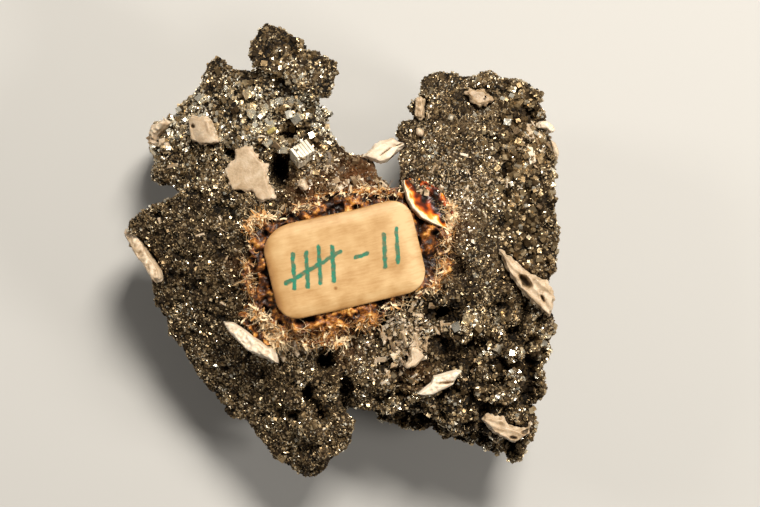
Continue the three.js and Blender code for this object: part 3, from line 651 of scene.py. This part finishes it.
bpy.ops.object.select_all(action="DESELECT")
layers = []
reached = -CUBE_SIDES[0] / 2
for layer in range(2 * GROOVES + 1):
    wide = GROOVE if layer % 2 else SLAB
    uneven = 0.04 * math.sin(2.4 * layer) + (GROOVE_DEPTH if layer % 2 else 0.0)
    shift = Vector((reached + wide / 2, 0, 0))
    reached += wide
    shift.rotate(CUBE_TURN)
    bpy.ops.mesh.primitive_cube_add(size=1, location=(Vector(CUBE_MIDDLE) + shift) * MM)
    slab = bpy.context.object
    slab.rotation_euler = CUBE_TURN
    sides = Vector((1.04 * wide, CUBE_SIDES[1] - uneven, CUBE_SIDES[2] - 1.6 * uneven))
    slab.scale = sides * MM
    layers.append(slab)
for slab in layers:
    slab.select_set(True)
bpy.context.view_layer.objects.active = layers[0]
bpy.ops.object.join()
striated = bpy.context.object
striated.name = "striated_cube"
bpy.ops.object.transform_apply(location=True, rotation=True, scale=True)
corners = 8 * len(layers)
# the groove layers are painted dark, as shade in the grooves, and the wide layers bright
keep_value(striated, "tone", [0.95 - 0.55 * (i // 8 % 2) for i in range(corners)])
keep_value(striated, "stain", [0.0] * corners)
striated.data.materials.append(pyrite_finish("striated_cube", 0.30, 0.04, 0.4))
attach(striated, "root")

# The honey crystal
# A tiny yellow crystal in the gap between the upper plates, a little cloudy, six-sided and with
# cut ends.

bpy.ops.object.select_all(action="DESELECT")
bpy.ops.mesh.primitive_cylinder_add(
    vertices=6,
    radius=0.34 * MM,
    depth=1.3 * MM,
    location=(-8.7 * MM, 15.8 * MM, 23.0 * MM),
    rotation=(0, math.radians(68), math.radians(33)),
)
honey = bpy.context.object
honey.name = "honey_crystal"
bpy.ops.object.transform_apply(location=True, rotation=True, scale=True)
worked(honey, "BEVEL", width=0.14 * MM, segments=1)
HONEY_LIGHT = (0.3, (1.0, 0.8, 0.3), 0.3)
honey_finish, tree, shader = surface("honey_crystal", 0.25, sunk_light=HONEY_LIGHT)
honey_cloud = noise_on(tree, object_place(tree), 2500)
honeys = coloured(tree, honey_cloud, (0.3, (0.30, 0.22, 0.06)), (0.7, (0.62, 0.52, 0.22)))
tree.links.new(honeys, shader.inputs["Base Color"])
honey.data.materials.append(honey_finish)
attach(honey, "root")

# The calcite crystals
# Cream blades and plates, thin and a little translucent, grown on and between the pyrite. Growth
# layers ridge them lengthwise, their rims are stepped and nicked, and pits and holes sink into
# them, painted dark as shade.

CALCITE_VOXEL = 0.12 * MM
RIM_THINNING = 0.40  # millimetres that the edges of a blade draw in

calcite, tree, shader = surface("calcite", 0.45, sunk_light=(0.2, (1.0, 0.7, 0.5), 0.4))
calcite_place = object_place(tree)
cloud = noise_on(tree, calcite_place, 650, 8, 0.7)
cloud = value_of(tree, "ADD", cloud, kept_value(tree, "pale"))
# the cream darkens with painted shade in pits, nicks and holes, and with each chip's own tone
creams = coloured(
    tree,
    value_of(tree, "MULTIPLY_ADD", kept_value(tree, "tone_and_shade"), -0.55, cloud),
    (0.08, (0.10, 0.065, 0.035)),
    (0.3, (0.32, 0.215, 0.115)),
    (0.5, (0.49, 0.36, 0.23)),
    (1.0, (0.84, 0.72, 0.56)),
)
tree.links.new(creams, shader.inputs["Base Color"])


def bumped(tree, shader, height, strength, depth):
    """Gives the material small bumps, this many millimetres deep at full strength."""
    inputs = {"Height": height, "Strength": strength, "Distance": depth * MM}
    bump = add_node(tree, "Bump", inputs).outputs["Normal"]
    tree.links.new(bump, shader.inputs["Normal"])


bumped(tree, shader, noise_on(tree, calcite_place, 3800, 5), 0.6, 0.10)


def grown_in_lobes(piece, lobe, ridge, nick, pitted, holes, pushes):
    """Shapes a blade into lobes that meet in creases, ridges it lengthwise, thins its rim and makes
    it ragged, sinks holes into it and pushes parts of it sideways, all in millimetres. Its pits,
    holes and nicks are painted darker, as shade, and the rest of its rim a little paler."""
    places, normals = corners_of(piece)
    for spot, reach, push in pushes:
        places[:, :2] += bell(places, spot, reach)[:, None] * np.array(push) * MM
    middle = places.mean(axis=0)
    _, _, axes = np.linalg.svd(places - middle, full_matrices=False)
    across = (places - middle) @ axes[1] / MM
    from_core = (places - middle) @ axes[2]
    from_core = np.abs(from_core) / np.abs(from_core).max()
    flat = np.abs(normals @ axes[2])
    ridges = np.sin(2 * math.pi * (across / 0.8 + 0.7 * swell(places, 2.6, 5)))
    ragged = swell(places, 0.9, 6) + swell(places, 0.45, 7)
    pits = rise(swell(places, 0.8, 8), 0.22, 0.5) * pitted
    stand = flat * (lobe * (0.4 - gaps(places, 2.6, 9)) + ridge * ridges)
    stand += (1 - flat) * (nick * ragged - RIM_THINNING * from_core**2) - 0.4 * pits
    places += normals * (stand * MM)[:, None]
    # painted shade: darker in the pits, in the nicks of the rim and in the holes; the rest of the
    # rim a little paler
    tone_and_shade = pits + (1 - flat) * (0.35 * rise(-ragged, 0, 0.5) - 0.15)
    for middle, reach, turn in holes:
        outline = oval(places, middle, reach, turn) * (1 + 0.8 * swell(places, 0.5, 19))
        sunk = np.exp(-(outline**2)) * rise(normals[:, 2], 0, 0.4)
        places[:, 2] -= 0.7 * sunk * MM
        tone_and_shade += 1.2 * sunk
    move_corners(piece, places)
    keep_value(piece, "tone_and_shade", np.clip(tone_and_shade, -0.3, 1))


CALCITE_FORMS = {  # lobes, ridges, ragged rim, pits, how pale
    "calcite_large_plate": (0.08, 0.0, 0.36, 0.0, 0.0),
    "calcite_upper_left": (0.60, 0.0, 0.24, 0.0, 0.04),
    "calcite_left_edge": (0.30, 0.05, 0.20, 0.1, 0.0),
    "calcite_bridge": (0.60, 0.04, 0.16, 0.0, 0.28),
    "calcite_upper_right": (0.10, 0.01, 0.35, 0.0, -0.12),
    "calcite_notch_edge": (0.35, 0.03, 0.35, 0.2, -0.05),
    "calcite_right_corner": (0.40, 0.03, 0.25, 0.0, 0.30),
    "calcite_right_blade": (0.30, 0.08, 0.22, 0.25, 0.0),
    "calcite_lower_middle": (0.30, 0.05, 0.22, 0.0, 0.40),
    "calcite_lower_right": (0.35, 0.07, 0.22, 0.15, -0.02),
    "calcite_lower_left": (0.25, 0.02, 0.28, 0.0, 0.28),
    "calcite_bead": (0.05, 0.0, 0.06, 0.0, 0.0),
}
CALCITE_HOLES = {  # place, reach along and across, turn in degrees
    "calcite_upper_left": (((-19.3, 16.6), (0.30, 0.22), -20),),
    "calcite_bridge": (((6.1, 13.1), (1.1, 0.09), 36), ((7.6, 13.9), (0.6, 0.07), 20)),
    "calcite_right_blade": (((24.0, -3.7), (0.95, 0.42), -52), ((26.2, -5.9), (0.5, 0.16), -60)),
    "calcite_lower_middle": (((13.8, -16.8), (0.95, 0.20), 5),),
    "calcite_lower_right": (((22.6, -24.0), (0.5, 0.18), -10), ((24.2, -23.3), (0.5, 0.25), 20)),
}
CALCITE_PUSHES = {  # place, reach, push to the right and up
    "calcite_large_plate": (
        ((-10.4, 7.3), 0.9, (-0.4, -0.5)),
        ((-8.5, 7.3), 0.8, (0.1, -0.4)),
        ((-11.8, 8.0), 0.8, (0.0, -0.15)),
        ((-13.4, 13.0), 0.8, (0.0, 0.3)),
    ),
    "calcite_upper_left": (((-16.2, 14.6), 0.9, (0.4, 0.0)), ((-19.4, 17.4), 0.8, (-0.2, 0.2))),
    "calcite_bridge": (((6.0, 12.2), 1.2, (0.0, -0.3)), ((5.0, 13.6), 1.2, (-0.1, 0.3))),
}
ORDINARY_FORM = (0.30, 0.04, 0.25, 0.1, 0.05)

for node in sorted(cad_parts):
    if node.startswith("calcite_") and node != "calcite_hollow_blade":
        crystal = form_of(node, node + "_crystal", CALCITE_VOXEL, 9)
        *growth, pale = CALCITE_FORMS.get(node, ORDINARY_FORM)
        holes, pushes = CALCITE_HOLES.get(node, ()), CALCITE_PUSHES.get(node, ())
        grown_in_lobes(crystal, *growth, holes, pushes)
        keep_value(crystal, "pale", [pale] * len(crystal.data.vertices))
        crystal.data.materials.append(calcite)
        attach(crystal, "root")
        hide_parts(node)

# The hollow blade
# A blade of calcite broken open beside the label's upper corner. Glue has run into it, so its thin
# wall goes from a cream rim through yellow and orange to dark red inside, and painted shade takes
# it to near black where the hollow is deepest.

SHELL_RIM = ((8.5, 9.3), (8.6, 8.2), (9.0, 6.9), (9.7, 5.7), (10.8, 4.6), (12.2, 3.8), (13.9, 3.1))
SHELL_BACK = (
    ((9.3, 9.5), (10.4, 9.4), (11.6, 8.9), (12.9, 8.1), (14.0, 6.9), (14.6, 5.4), (14.6, 3.5))
)
SHELL_FLOOR, SHELL_WALL = 24.0, 0.14
# the deeper the wall lies in the hollow, the darker its colour: partly glue, partly painted shade
SHELL_PROFILE = (  # share from rim to back, height in millimetres, colour from rim to depth
    (-0.11, 24.0, 0.10), (-0.10, 25.2, 0.06), (-0.05, 26.2, 0.02), (0.0, 26.35, 0.0),
    (0.06, 26.1, 0.06), (0.12, 25.6, 0.22), (0.22, 25.1, 0.34), (0.33, 24.7, 0.50),
    (0.43, 24.3, 0.72), (0.54, 24.0, 0.98), (0.68, 24.0, 0.85), (0.82, 24.4, 0.62),
    (1.0, 24.5, 0.45),
)  # fmt: skip


def points_along(share, points):
    """The coordinates at a share of the way along evenly spaced points"""
    steps = np.linspace(0, 1, len(points))
    return np.stack([np.interp(share, steps, values) for values in zip(*points)], axis=1)


bpy.ops.object.select_all(action="DESELECT")
bpy.ops.mesh.primitive_grid_add(x_subdivisions=60, y_subdivisions=24, size=2)
shell = bpy.context.object
shell.name = "hollow_blade_shell"
shell_places, _ = corners_of(shell)
lengthwise, inward = (shell_places[:, 0] + 1) / 2, (shell_places[:, 1] + 1) / 2
rim, back = points_along(lengthwise, SHELL_RIM), points_along(lengthwise, SHELL_BACK)
share, height, shell_tint = points_along(inward, SHELL_PROFILE).T
height -= (height - SHELL_FLOOR) * 0.75 * np.abs(2 * lengthwise - 1) ** 4
shell_places[:, :2] = (rim + (back - rim) * share[:, None]) * MM
shell_places[:, 2] = height * MM
shell_rough = swell(shell_places, 0.9, 12)
ragged = 1.1 * swell(shell_places, 0.6, 13) * rise(inward, 0.6, 0.9)
shell_places[:, 2] += (0.20 * shell_rough + ragged) * MM
shell_places[:, 0] += 0.12 * swell(shell_places, 1.1, 14) * MM
move_corners(shell, shell_places)
shell_tint += (0.08 + 0.7 * shell_rough - 0.3 * ragged) * rise(inward, 0.25, 0.45)
keep_value(shell, "tint", np.clip(shell_tint, 0, 1))
shell.data.shade_smooth()
worked(shell, "SOLIDIFY", thickness=SHELL_WALL * MM, offset=-1)
bpy.ops.object.mode_set(mode="EDIT")
bpy.ops.mesh.select_all(action="SELECT")
bpy.ops.mesh.normals_make_consistent(inside=False)
bpy.ops.object.mode_set(mode="OBJECT")


def clouded(name, roughness, sunk_light, kept, noise_sizes, spread, stops, bump):
    """A material whose colour follows the kept value, more or less clouded by noise"""
    material, tree, shader = surface(name, roughness, sunk_light=sunk_light)
    cloud = noise_on(tree, object_place(tree), *noise_sizes)
    shift = value_of(tree, "MULTIPLY_ADD", cloud, spread, -spread / 2)
    shade = value_of(tree, "ADD", kept_value(tree, kept), shift)
    tree.links.new(coloured(tree, shade, *stops), shader.inputs["Base Color"])
    bumped(tree, shader, cloud, *bump)
    return material


SHELL_COLOURS = (  # from the cream rim to the dark inside
    (0.04, (0.86, 0.70, 0.50)),
    (0.16, (0.92, 0.52, 0.12)),
    (0.32, (0.80, 0.26, 0.02)),
    (0.50, (0.45, 0.075, 0.010)),
    (0.70, (0.10, 0.015, 0.005)),
    (0.9, (0.010, 0.005, 0.003)),
)
shell_finish = clouded(
    "hollow_blade_shell",
    roughness=0.38,
    sunk_light=(0.15, (1.0, 0.4, 0.1), 0.3),
    kept="tint",
    noise_sizes=(1700, 6),
    spread=0.4,
    stops=SHELL_COLOURS,
    bump=(0.6, 0.1),
)
shell.data.materials.append(shell_finish)
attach(shell, "root")
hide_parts("calcite_hollow_blade")

# The calcite chips
# Broken slivers and small late crystals of the same calcite, caught in the druse and the glue
# around the label and strewn thinly over the plates.

SLIVER = (
    [(0.36, 0, 0.36), (-0.36, 0, 0.36), (0.5, 0.48, -0.34), (-0.5, 0.48, -0.34)]
    + [(-0.5, -0.48, -0.34), (0.5, -0.48, -0.34)],
    [(0, 1, 3, 2), (1, 0, 5, 4), (0, 2, 5), (1, 4, 3), (2, 3, 4, 5)],
)
CHIP_SHAPES = ((0.9, 1.9), (0.4, 0.85), (0.25, 0.45))  # least and most length, width, thickness
CHIP_FLOOR = 14 * MM  # chips lie only above this height
LARGEST_CHIP = 1.6 * MM
CHIP_DRIFTS = (  # middle, spread, number and usual width
    ((7.6, -9.4), (2.4, 1.5), 170, 0.44),
    ((8.6, -12.4), (1.3, 1.5), 110, 0.48),
    ((6.2, -15.6), (1.6, 1.0), 30, 0.45),
    ((13.0, -9.6), (1.4, 0.8), 30, 0.45),
    ((2.4, 8.6), (3.0, 0.5), 50, 0.50),
    ((-2.4, 11.4), (2.2, 1.0), 40, 0.45),
    ((-6.0, -12.6), (1.2, 0.8), 50, 0.5),
    ((-9.4, -7.8), (0.8, 0.8), 30, 0.5),
    ((15.6, 8.6), (3.2, 1.9), 260, 0.24),
    ((12.6, 12.4), (2.0, 2.4), 90, 0.24),
    ((25.6, 14.4), (1.4, 1.8), 50, 0.5),
    ((-24.2, 16.0), (1.0, 1.4), 26, 0.5),
    ((-23.6, 12.4), (1.0, 1.4), 12, 0.4),
    ((0.0, 0.0), (17.0, 17.0), 420, 0.28),
)
LARGE_CHIPS = (  # place and width
    ((-9.3, 14.3), 1.9), ((-8.1, 13.6), 1.4), ((-10.3, 15.0), 1.1), ((-7.2, 14.2), 0.9),
    ((-23.6, 16.6), 1.5), ((-23.3, 17.6), 1.1), ((-25.0, 15.6), 1.2), ((-23.5, 14.8), 1.3),
    ((-22.3, 11.7), 1.3), ((8.6, -11.2), 1.9), ((7.2, -12.4), 1.6), ((9.4, -12.9), 1.5),
    ((6.0, -11.0), 1.3), ((4.7, 9.6), 1.1), ((5.9, 8.9), 0.9), ((2.6, 9.9), 0.9),
    ((-0.6, 9.2), 1.0), ((27.0, 15.6), 1.2), ((25.2, 16.6), 1.0), ((-4.6, -12.8), 1.2),
    ((4.0, -9.6), 1.2),
)  # fmt: skip

roll = np.random.default_rng(21)
found = []
for (x, y), (wide, tall), count, usual in CHIP_DRIFTS:
    for _ in range(count):
        place, normal = below(crust_tree, x + wide * roll.normal(), y + tall * roll.normal())
        if place is not None and place.z >= CHIP_FLOOR:
            found.append((*place, *normal, usual * roll.lognormal(0, 0.52) * MM))
for (x, y), wide in LARGE_CHIPS:
    place, normal = below(crust_tree, x, y)
    if place is not None:
        found.append((*place, *normal, wide * MM))
found = np.array(found)
chip_places, chip_normals, count = found[:, :3], found[:, 3:6], len(found)
chip_sizes = np.stack([roll.uniform(least, most, count) for least, most in CHIP_SHAPES], axis=1)
chip_sizes *= np.minimum(found[:, 6:], LARGEST_CHIP)
chips = joined_copies(
    "calcite_chips",
    turned_out(SLIVER),
    chip_places + 0.3 * chip_sizes[:, 2:] * chip_normals,
    chip_sizes,
    stood_on(chip_normals, 0.7, roll),
)
each = len(SLIVER[0])
keep_value(chips, "tone_and_shade", np.repeat(np.clip(roll.normal(0.20, 0.25, count), 0, 1), each))
keep_value(chips, "pale", np.repeat(roll.normal(0.13, 0.20, count), each))
chips.data.materials.append(calcite)
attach(chips, "root")

# The pad of glue
# Brown carpenter's glue that dried on a wad of cotton under the label, orange where it is thin and
# pale along its frayed ridges. Its colour follows its relief: painted shade makes it almost black
# in its holes, and its ridges are painted lighter.

GLUE_HOLLOWS = (  # middle, reach along and across, turn in degrees, depth
    ((11.6, 6.3), (3.4, 1.9), -42, 2.6),
    ((-9.2, -10.4), (1.9, 1.0), -35, 2.2),
    ((1.8, -10.6), (2.0, 0.8), 15, 2.3),
    ((-4.6, -10.9), (1.8, 0.7), 10, 2.3),
    ((-11.0, -3.6), (0.7, 1.8), 0, 1.6),
    ((13.0, 0.4), (0.8, 2.0), 10, 1.5),
    ((8.8, -5.8), (1.6, 0.6), 20, 1.3),
    ((0.0, 7.4), (2.4, 0.5), 14, 1.3),
    ((-7.6, 4.4), (1.8, 0.5), 14, 1.2),
)
GLUE_GLOWS = (  # middle, reach, how much brighter
    ((10.4, 7.2), 1.5, 0.35), ((-1.0, -10.6), 3.5, 0.12),
    ((-9.5, -10.0), 2.2, 0.20), ((4.0, 8.6), 2.5, 0.14),
)  # fmt: skip
GLUE_COLOURS = (  # from the dark holes to the pale frayed ridges
    (0.22, (0.016, 0.006, 0.003)),
    (0.38, (0.075, 0.024, 0.008)),
    (0.52, (0.26, 0.082, 0.014)),
    (0.66, (0.56, 0.23, 0.036)),
    (0.80, (0.72, 0.43, 0.13)),
    (0.95, (0.80, 0.66, 0.44)),
)
GLUE_VOXEL = 0.19 * MM
GLUE_CEILING = 26.75 * MM  # the glue stays under the card

glue = form_of("glue_pad", "glue_bed", GLUE_VOXEL, 3)
glue_places, glue_normals = corners_of(glue)
glue_ridge = 0.9 * swell(glue_places, 1.7, 7) + 0.9 * swell(glue_places, 0.8, 8)
glue_ridge += 0.6 * (0.45 - 1.9 * np.abs(swell(glue_places, 0.55, 9)))
glue_torn = rise(swell(glue_places, 1.3, 11), 0.12, 0.40)
glue_depth = np.zeros(len(glue_places))
for middle, reach, turn, depth in GLUE_HOLLOWS:
    glue_depth += depth * np.exp(-(oval(glue_places, middle, reach, turn) ** 1.5))
above_bed = rise(glue_places[:, 2] / MM, 23.0, 24.6)
glue_places += glue_normals * (0.60 * (glue_ridge - 0.25) * MM)[:, None]
glue_places[:, 2] -= (glue_depth + 1.1 * glue_torn) * MM * above_bed
glue_places[:, 2] = np.minimum(glue_places[:, 2], GLUE_CEILING)
move_corners(glue, glue_places)
seam = np.array([crust_tree.find_nearest(Vector(p))[3] / MM for p in glue_places])
frayed = rise(0.75 - seam, 0, 0.6) * rise(swell(glue_places, 0.9, 15), -0.3, 0.3)
# the colour follows the relief: painted shade darkens the hollows and torn holes and painted light
# brightens the ridges; the frayed rim is pale and some patches brighter
glue_tone = 0.44 + 0.24 * glue_ridge - 0.17 * glue_depth - 0.22 * glue_torn + 0.30 * frayed
glue_tone += sum_of_bells(glue_places, GLUE_GLOWS)
keep_value(glue, "ridge", np.clip(glue_tone, 0, 1))
glue_finish = clouded(
    "dried_glue",
    roughness=0.42,
    sunk_light=(0.12, (1.0, 0.4, 0.12), 0.35),
    kept="ridge",
    noise_sizes=(1300, 8, 0.7),
    spread=1.5,
    stops=GLUE_COLOURS,
    bump=(0.8, 0.16),
)
glue.data.materials.append(glue_finish)
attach(glue, "root")
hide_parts("glue_pad")

# The cotton in the glue
# Loose fibres of the wad and flakes of glue that peeled with them, pale at the outside and brown
# where glue has soaked in. They lie matted along the rim of the pad.

FIBRE_RUNS = (  # start, end, spread, fibres, flakes, how pale
    ((-11.6, 3.8), (-11.8, -1.0), 0.5, 160, 90, 0.34),
    ((-11.8, -1.0), (-11.4, -6.4), 0.5, 150, 70, 0.28),
    ((-11.4, -7.4), (-7.6, -10.9), 0.9, 280, 180, 0.66),
    ((-9.0, -10.6), (-6.6, -12.6), 0.8, 220, 200, 0.80),
    ((-7.4, -10.4), (-2.0, -11.0), 1.0, 340, 50, 0.22),
    ((-7.6, -11.6), (-2.0, -12.4), 0.35, 130, 160, 0.78),
    ((-2.0, -10.6), (5.0, -8.8), 1.0, 320, 50, 0.22),
    ((-2.0, -12.0), (5.4, -10.0), 0.35, 130, 160, 0.74),
    ((5.4, -7.8), (12.4, -4.8), 0.8, 180, 110, 0.60),
    ((12.8, -4.2), (14.0, 2.2), 0.9, 240, 90, 0.35),
    ((14.4, 2.8), (15.0, 5.2), 0.6, 280, 90, 0.70),
    ((14.6, 5.8), (11.4, 8.8), 0.6, 300, 90, 0.65),
    ((12.0, 7.6), (13.9, 5.0), 0.6, 200, 30, 0.30),
    ((7.6, 7.9), (-1.8, 8.2), 1.1, 200, 150, 0.50),
    ((-2.0, 7.2), (-8.0, 5.0), 0.8, 120, 70, 0.45),
    ((-8.0, 4.8), (-11.4, 4.2), 0.7, 160, 110, 0.52),
)
STRAND_STEPS = 6
FIBRE_FLOOR = 20 * MM  # fibres lie only above this height
COTTON_COLOURS = (  # from soaked in glue to clean
    (0.45, (0.11, 0.034, 0.009)),
    (0.78, (0.60, 0.29, 0.075)),
    (1.0, (0.82, 0.64, 0.39)),
)


def strand(place, direction, curl, length, wide, thick, sides):
    """The corners of one curled fibre or flake, ring by ring along its length"""
    line = [place.copy()]
    for _ in range(STRAND_STEPS - 1):
        direction = (direction + curl * (1.2 / STRAND_STEPS)).normalized()
        direction.z = 0.7 * max(direction.z, -0.3)
        line.append(line[-1] + direction * (length / (STRAND_STEPS - 1)))
    rings = []
    for i, point in enumerate(line):
        along = (line[min(i + 1, len(line) - 1)] - line[max(i - 1, 0)]).normalized()
        side = along.cross(Vector((0.3, 0.2, 1))).normalized()
        up = side.cross(along)
        narrow = 1 - 0.5 * i / len(line)
        for k in range(sides):
            angle = 2 * math.pi * (k + 0.5) / sides
            out = side * math.cos(angle) * wide + up * math.sin(angle) * thick
            rings.append(point + out * narrow)
    return rings


def strand_faces(start, sides):
    """The faces of one strand whose first corner has this number"""
    faces = []
    for ring in range(start, start + (STRAND_STEPS - 1) * sides, sides):
        for k in range(sides):
            a, b = ring + k, ring + (k + 1) % sides
            faces.append((a, b, b + sides, a + sides))
    faces.append(tuple(start + k for k in reversed(range(sides))))
    end = start + (STRAND_STEPS - 1) * sides
    return faces + [tuple(end + k for k in range(sides))]


ground = tree_of([glue])
for name, sides, seed, lengths, widths, thickness, curling in (
    ("cotton_fibres", 3, 7, (0.6, 2.1), (0.018, 0.040), None, 2.2),
    ("glue_flakes", 4, 8, (0.3, 1.1), (0.06, 0.26), 0.05, 1.8),
):
    roll = np.random.default_rng(seed)
    vertices, faces, shades = [], [], []
    for (x0, y0), (x1, y1), spread, fibres, flakes, pale in FIBRE_RUNS:
        heading = math.atan2(y1 - y0, x1 - x0)
        for _ in range(fibres if sides == 3 else flakes):
            share = roll.random()
            x = x0 + share * (x1 - x0) + spread * roll.normal() * 0.55
            y = y0 + share * (y1 - y0) + spread * roll.normal() * 0.55
            hit = below(ground, x, y)[0]
            if hit is None or hit.z < FIBRE_FLOOR:
                continue
            turn = Euler((0, 0, heading + roll.choice([0, math.pi]) + roll.normal() * 0.8))
            direction = turn.to_matrix() @ Vector((1, 0, roll.normal() * 0.15))
            length, wide = roll.uniform(*lengths), roll.uniform(*widths)
            sizes = (length * MM, wide * MM, (thickness or wide) * MM)
            curl = Vector(roll.normal(size=3)) * curling
            place = hit + Vector((0, 0, roll.uniform(-0.05, 0.15) * MM))
            faces += strand_faces(len(vertices), sides)
            vertices += strand(place, direction, curl, *sizes, sides)
            shade = float(np.clip(pale + 0.27 * roll.normal(), 0, 1))
            shades += [shade] * (STRAND_STEPS * sides)
    mesh = bpy.data.meshes.new(name)
    mesh.from_pydata(vertices, [], faces)
    cotton = as_object(name, mesh)
    keep_value(cotton, "pale", shades)
    cotton_finish, tree, shader = surface(name, 0.5)
    shader.inputs["Specular IOR Level"].default_value = 0.3
    stain = noise_on(tree, object_place(tree), 1500)
    tone = value_of(tree, "MULTIPLY_ADD", stain, 0.8, kept_value(tree, "pale"))
    tree.links.new(coloured(tree, tone, *COTTON_COLOURS), shader.inputs["Base Color"])
    cotton.data.materials.append(cotton_finish)
    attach(cotton, "root")

# The label
# A small card cut by hand, its corners rounded and its edges turned down a little, varnished and
# browned by age. The marks on it are strokes of a green felt-tip pen.

LABEL_MIDDLE, LABEL_HALF = (0.75, -0.9), (9.8, 6.1)
LABEL_TURN = 13.5  # degrees
BROWN_SPOT, SPOT_REACH, SPOT_CORE = (-1.9, -3.3, 0), 0.32, 0.08
LABEL_VOXEL = 0.14 * MM
INK_WIDTH, INK_BLUR = 0.27, 0.07  # half the width of the pen's line, and its soft edge
PEN_SHAKE, SHAKE_MIDDLE = 0.55, 0.27  # how far the line strays, and its mean
PEN_STROKES = (  # from and to, in millimetres along and up the label from its middle
    ((-7.0, -2.1), (-6.2, 2.2)),
    ((-5.3, -2.3), (-4.5, 2.1)),
    ((-3.6, -2.2), (-2.8, 2.3)),
    ((-1.9, -2.4), (-1.1, 2.0)),
    ((-7.9, -1.2), (-0.2, 1.1)),
    ((1.6, -0.1), (3.1, 0.15)),
    ((4.9, -2.2), (5.7, 2.0)),
    ((6.6, -2.0), (7.4, 2.3)),
)

label = form_of("card_label", "collector_label", LABEL_VOXEL, 6)
label_places, _ = corners_of(label)
along, up = along_and_up(label_places, LABEL_MIDDLE, LABEL_TURN)
edge = np.maximum(np.abs(along) / LABEL_HALF[0], np.abs(up) / LABEL_HALF[1])
drop = 0.30 * rise(edge, 0.72, 1.05) + 0.06 * (1 - rise(edge, 0.0, 0.5))
trim = -0.55 * rise(-along, 5.5, 9.5) * rise(up, 1, 6) - 0.20 * bell(label_places, (1.5, 5.5), 4)
trim += 0.12 * swell(label_places, 5.0, 10)
label_places[:, 0] -= trim * math.sin(math.radians(LABEL_TURN)) * MM
label_places[:, 1] += trim * math.cos(math.radians(LABEL_TURN)) * MM
label_places[:, 2] -= drop * rise(label_places[:, 2] / MM, 26.4, 27.0) * MM
move_corners(label, label_places)
keep_value(label, "border", rise(edge, 0.86, 1.0))
keep_value(label, "fray", rise(along, 6.5, 9.6) - rise(-along, 7.0, 9.6))

card, tree, shader = surface("aged_card", 0.42)
shader.inputs["Specular IOR Level"].default_value = 0.3
shader.inputs["Coat Weight"].default_value = 0.08
shader.inputs["Coat Roughness"].default_value = 0.3
on_label = add_node(
    tree,
    "Mapping",
    {
        "Vector": object_place(tree),
        "Location": (LABEL_MIDDLE[0] * MM, LABEL_MIDDLE[1] * MM, 0),
        "Rotation": (0, 0, math.radians(LABEL_TURN)),
        "Scale": (MM, MM, MM),
    },
    vector_type="TEXTURE",
).outputs["Vector"]
on_face = vector_of(tree, "MULTIPLY", on_label, (1, 1, 0))

# fine streaks along the card, blotches of age, a darker border and one brown spot
drawn_out = add_node(tree, "Mapping", {"Vector": on_label, "Scale": (0.22, 1.5, 1.0)})
streaks = noise_on(tree, drawn_out.outputs["Vector"], 2.4, 8, 0.65)
frayed_streaks = value_of(tree, "MULTIPLY", streaks, kept_value(tree, "fray"))
spot = vector_of(tree, "DISTANCE", on_face, BROWN_SPOT, result="Value")
shade = -0.06
for mask, amount in (
    (streaks, 0.38),
    (noise_on(tree, on_label, 0.30, 4), 0.76),
    (kept_value(tree, "border"), -0.20),
    (frayed_streaks, 0.30),
    (between(tree, spot, SPOT_REACH, SPOT_CORE), -0.32),
):
    shade = value_of(tree, "MULTIPLY_ADD", mask, amount, shade)
tans = coloured(
    tree,
    shade,
    (0.12, (0.20, 0.085, 0.025)),
    (0.34, (0.40, 0.22, 0.080)),
    (0.50, (0.52, 0.32, 0.140)),
    (0.68, (0.63, 0.43, 0.215)),
)


def stroke_group():
    """Shader node group: how far a place is from one straight pen stroke"""
    sockets = [(name, "Vector") for name in ("Place", "From", "Along")]
    group, given, given_back = shader_group("PenStroke", sockets, [("Distance", "Float")])
    away = vector_of(group, "SUBTRACT", given["Place"], given["From"])
    dot = vector_of(group, "DOT_PRODUCT", away, given["Along"], result="Value")
    whole = vector_of(group, "DOT_PRODUCT", given["Along"], given["Along"], result="Value")
    share = add_node(group, "Math", {0: dot, 1: whole}, operation="DIVIDE", use_clamp=True)
    reached = vector_of(group, "SCALE", given["Along"], Scale=share.outputs[0])
    rest = vector_of(group, "SUBTRACT", away, reached)
    group.links.new(vector_of(group, "LENGTH", rest, result="Value"), given_back["Distance"])
    return group


# the strokes, shaken a little as by an unsteady hand
shake = add_node(tree, "TexNoise", {"Vector": on_face, "Scale": 1.1, "Detail": 3})
shake = shake.outputs["Color"]
shaken = vector_of(tree, "MULTIPLY_ADD", shake, (PEN_SHAKE, PEN_SHAKE, 0), on_face)
STROKE = stroke_group()
nearest = 50.0  # millimetres, far from every stroke
for (x0, y0), (x1, y1) in PEN_STROKES:
    start, reach = (x0 + SHAKE_MIDDLE, y0 + SHAKE_MIDDLE, 0), (x1 - x0, y1 - y0, 0)
    inputs = {"Place": shaken, "From": start, "Along": reach}
    stroke = add_node(tree, "Group", inputs, node_tree=STROKE)
    nearest = value_of(tree, "MINIMUM", stroke.outputs["Distance"], nearest)
ink = between(tree, nearest, INK_WIDTH + INK_BLUR, INK_WIDTH - INK_BLUR)
ink_load = noise_on(tree, on_face, 1.4, 4)
thin_ink = value_of(tree, "MULTIPLY_ADD", ink_load, 0.9, 0.47)
ink = value_of(tree, "MINIMUM", value_of(tree, "MULTIPLY", ink, thin_ink), 0.96)
greens = coloured(tree, ink_load, (0.35, (0.001, 0.085, 0.048)), (0.65, (0.002, 0.20, 0.12)))
tree.links.new(mixed(tree, ink, tans, greens), shader.inputs["Base Color"])
bumped(tree, shader, streaks, 0.15, 0.05)
label.data.materials.append(card)
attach(label, "root")
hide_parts("card_label")
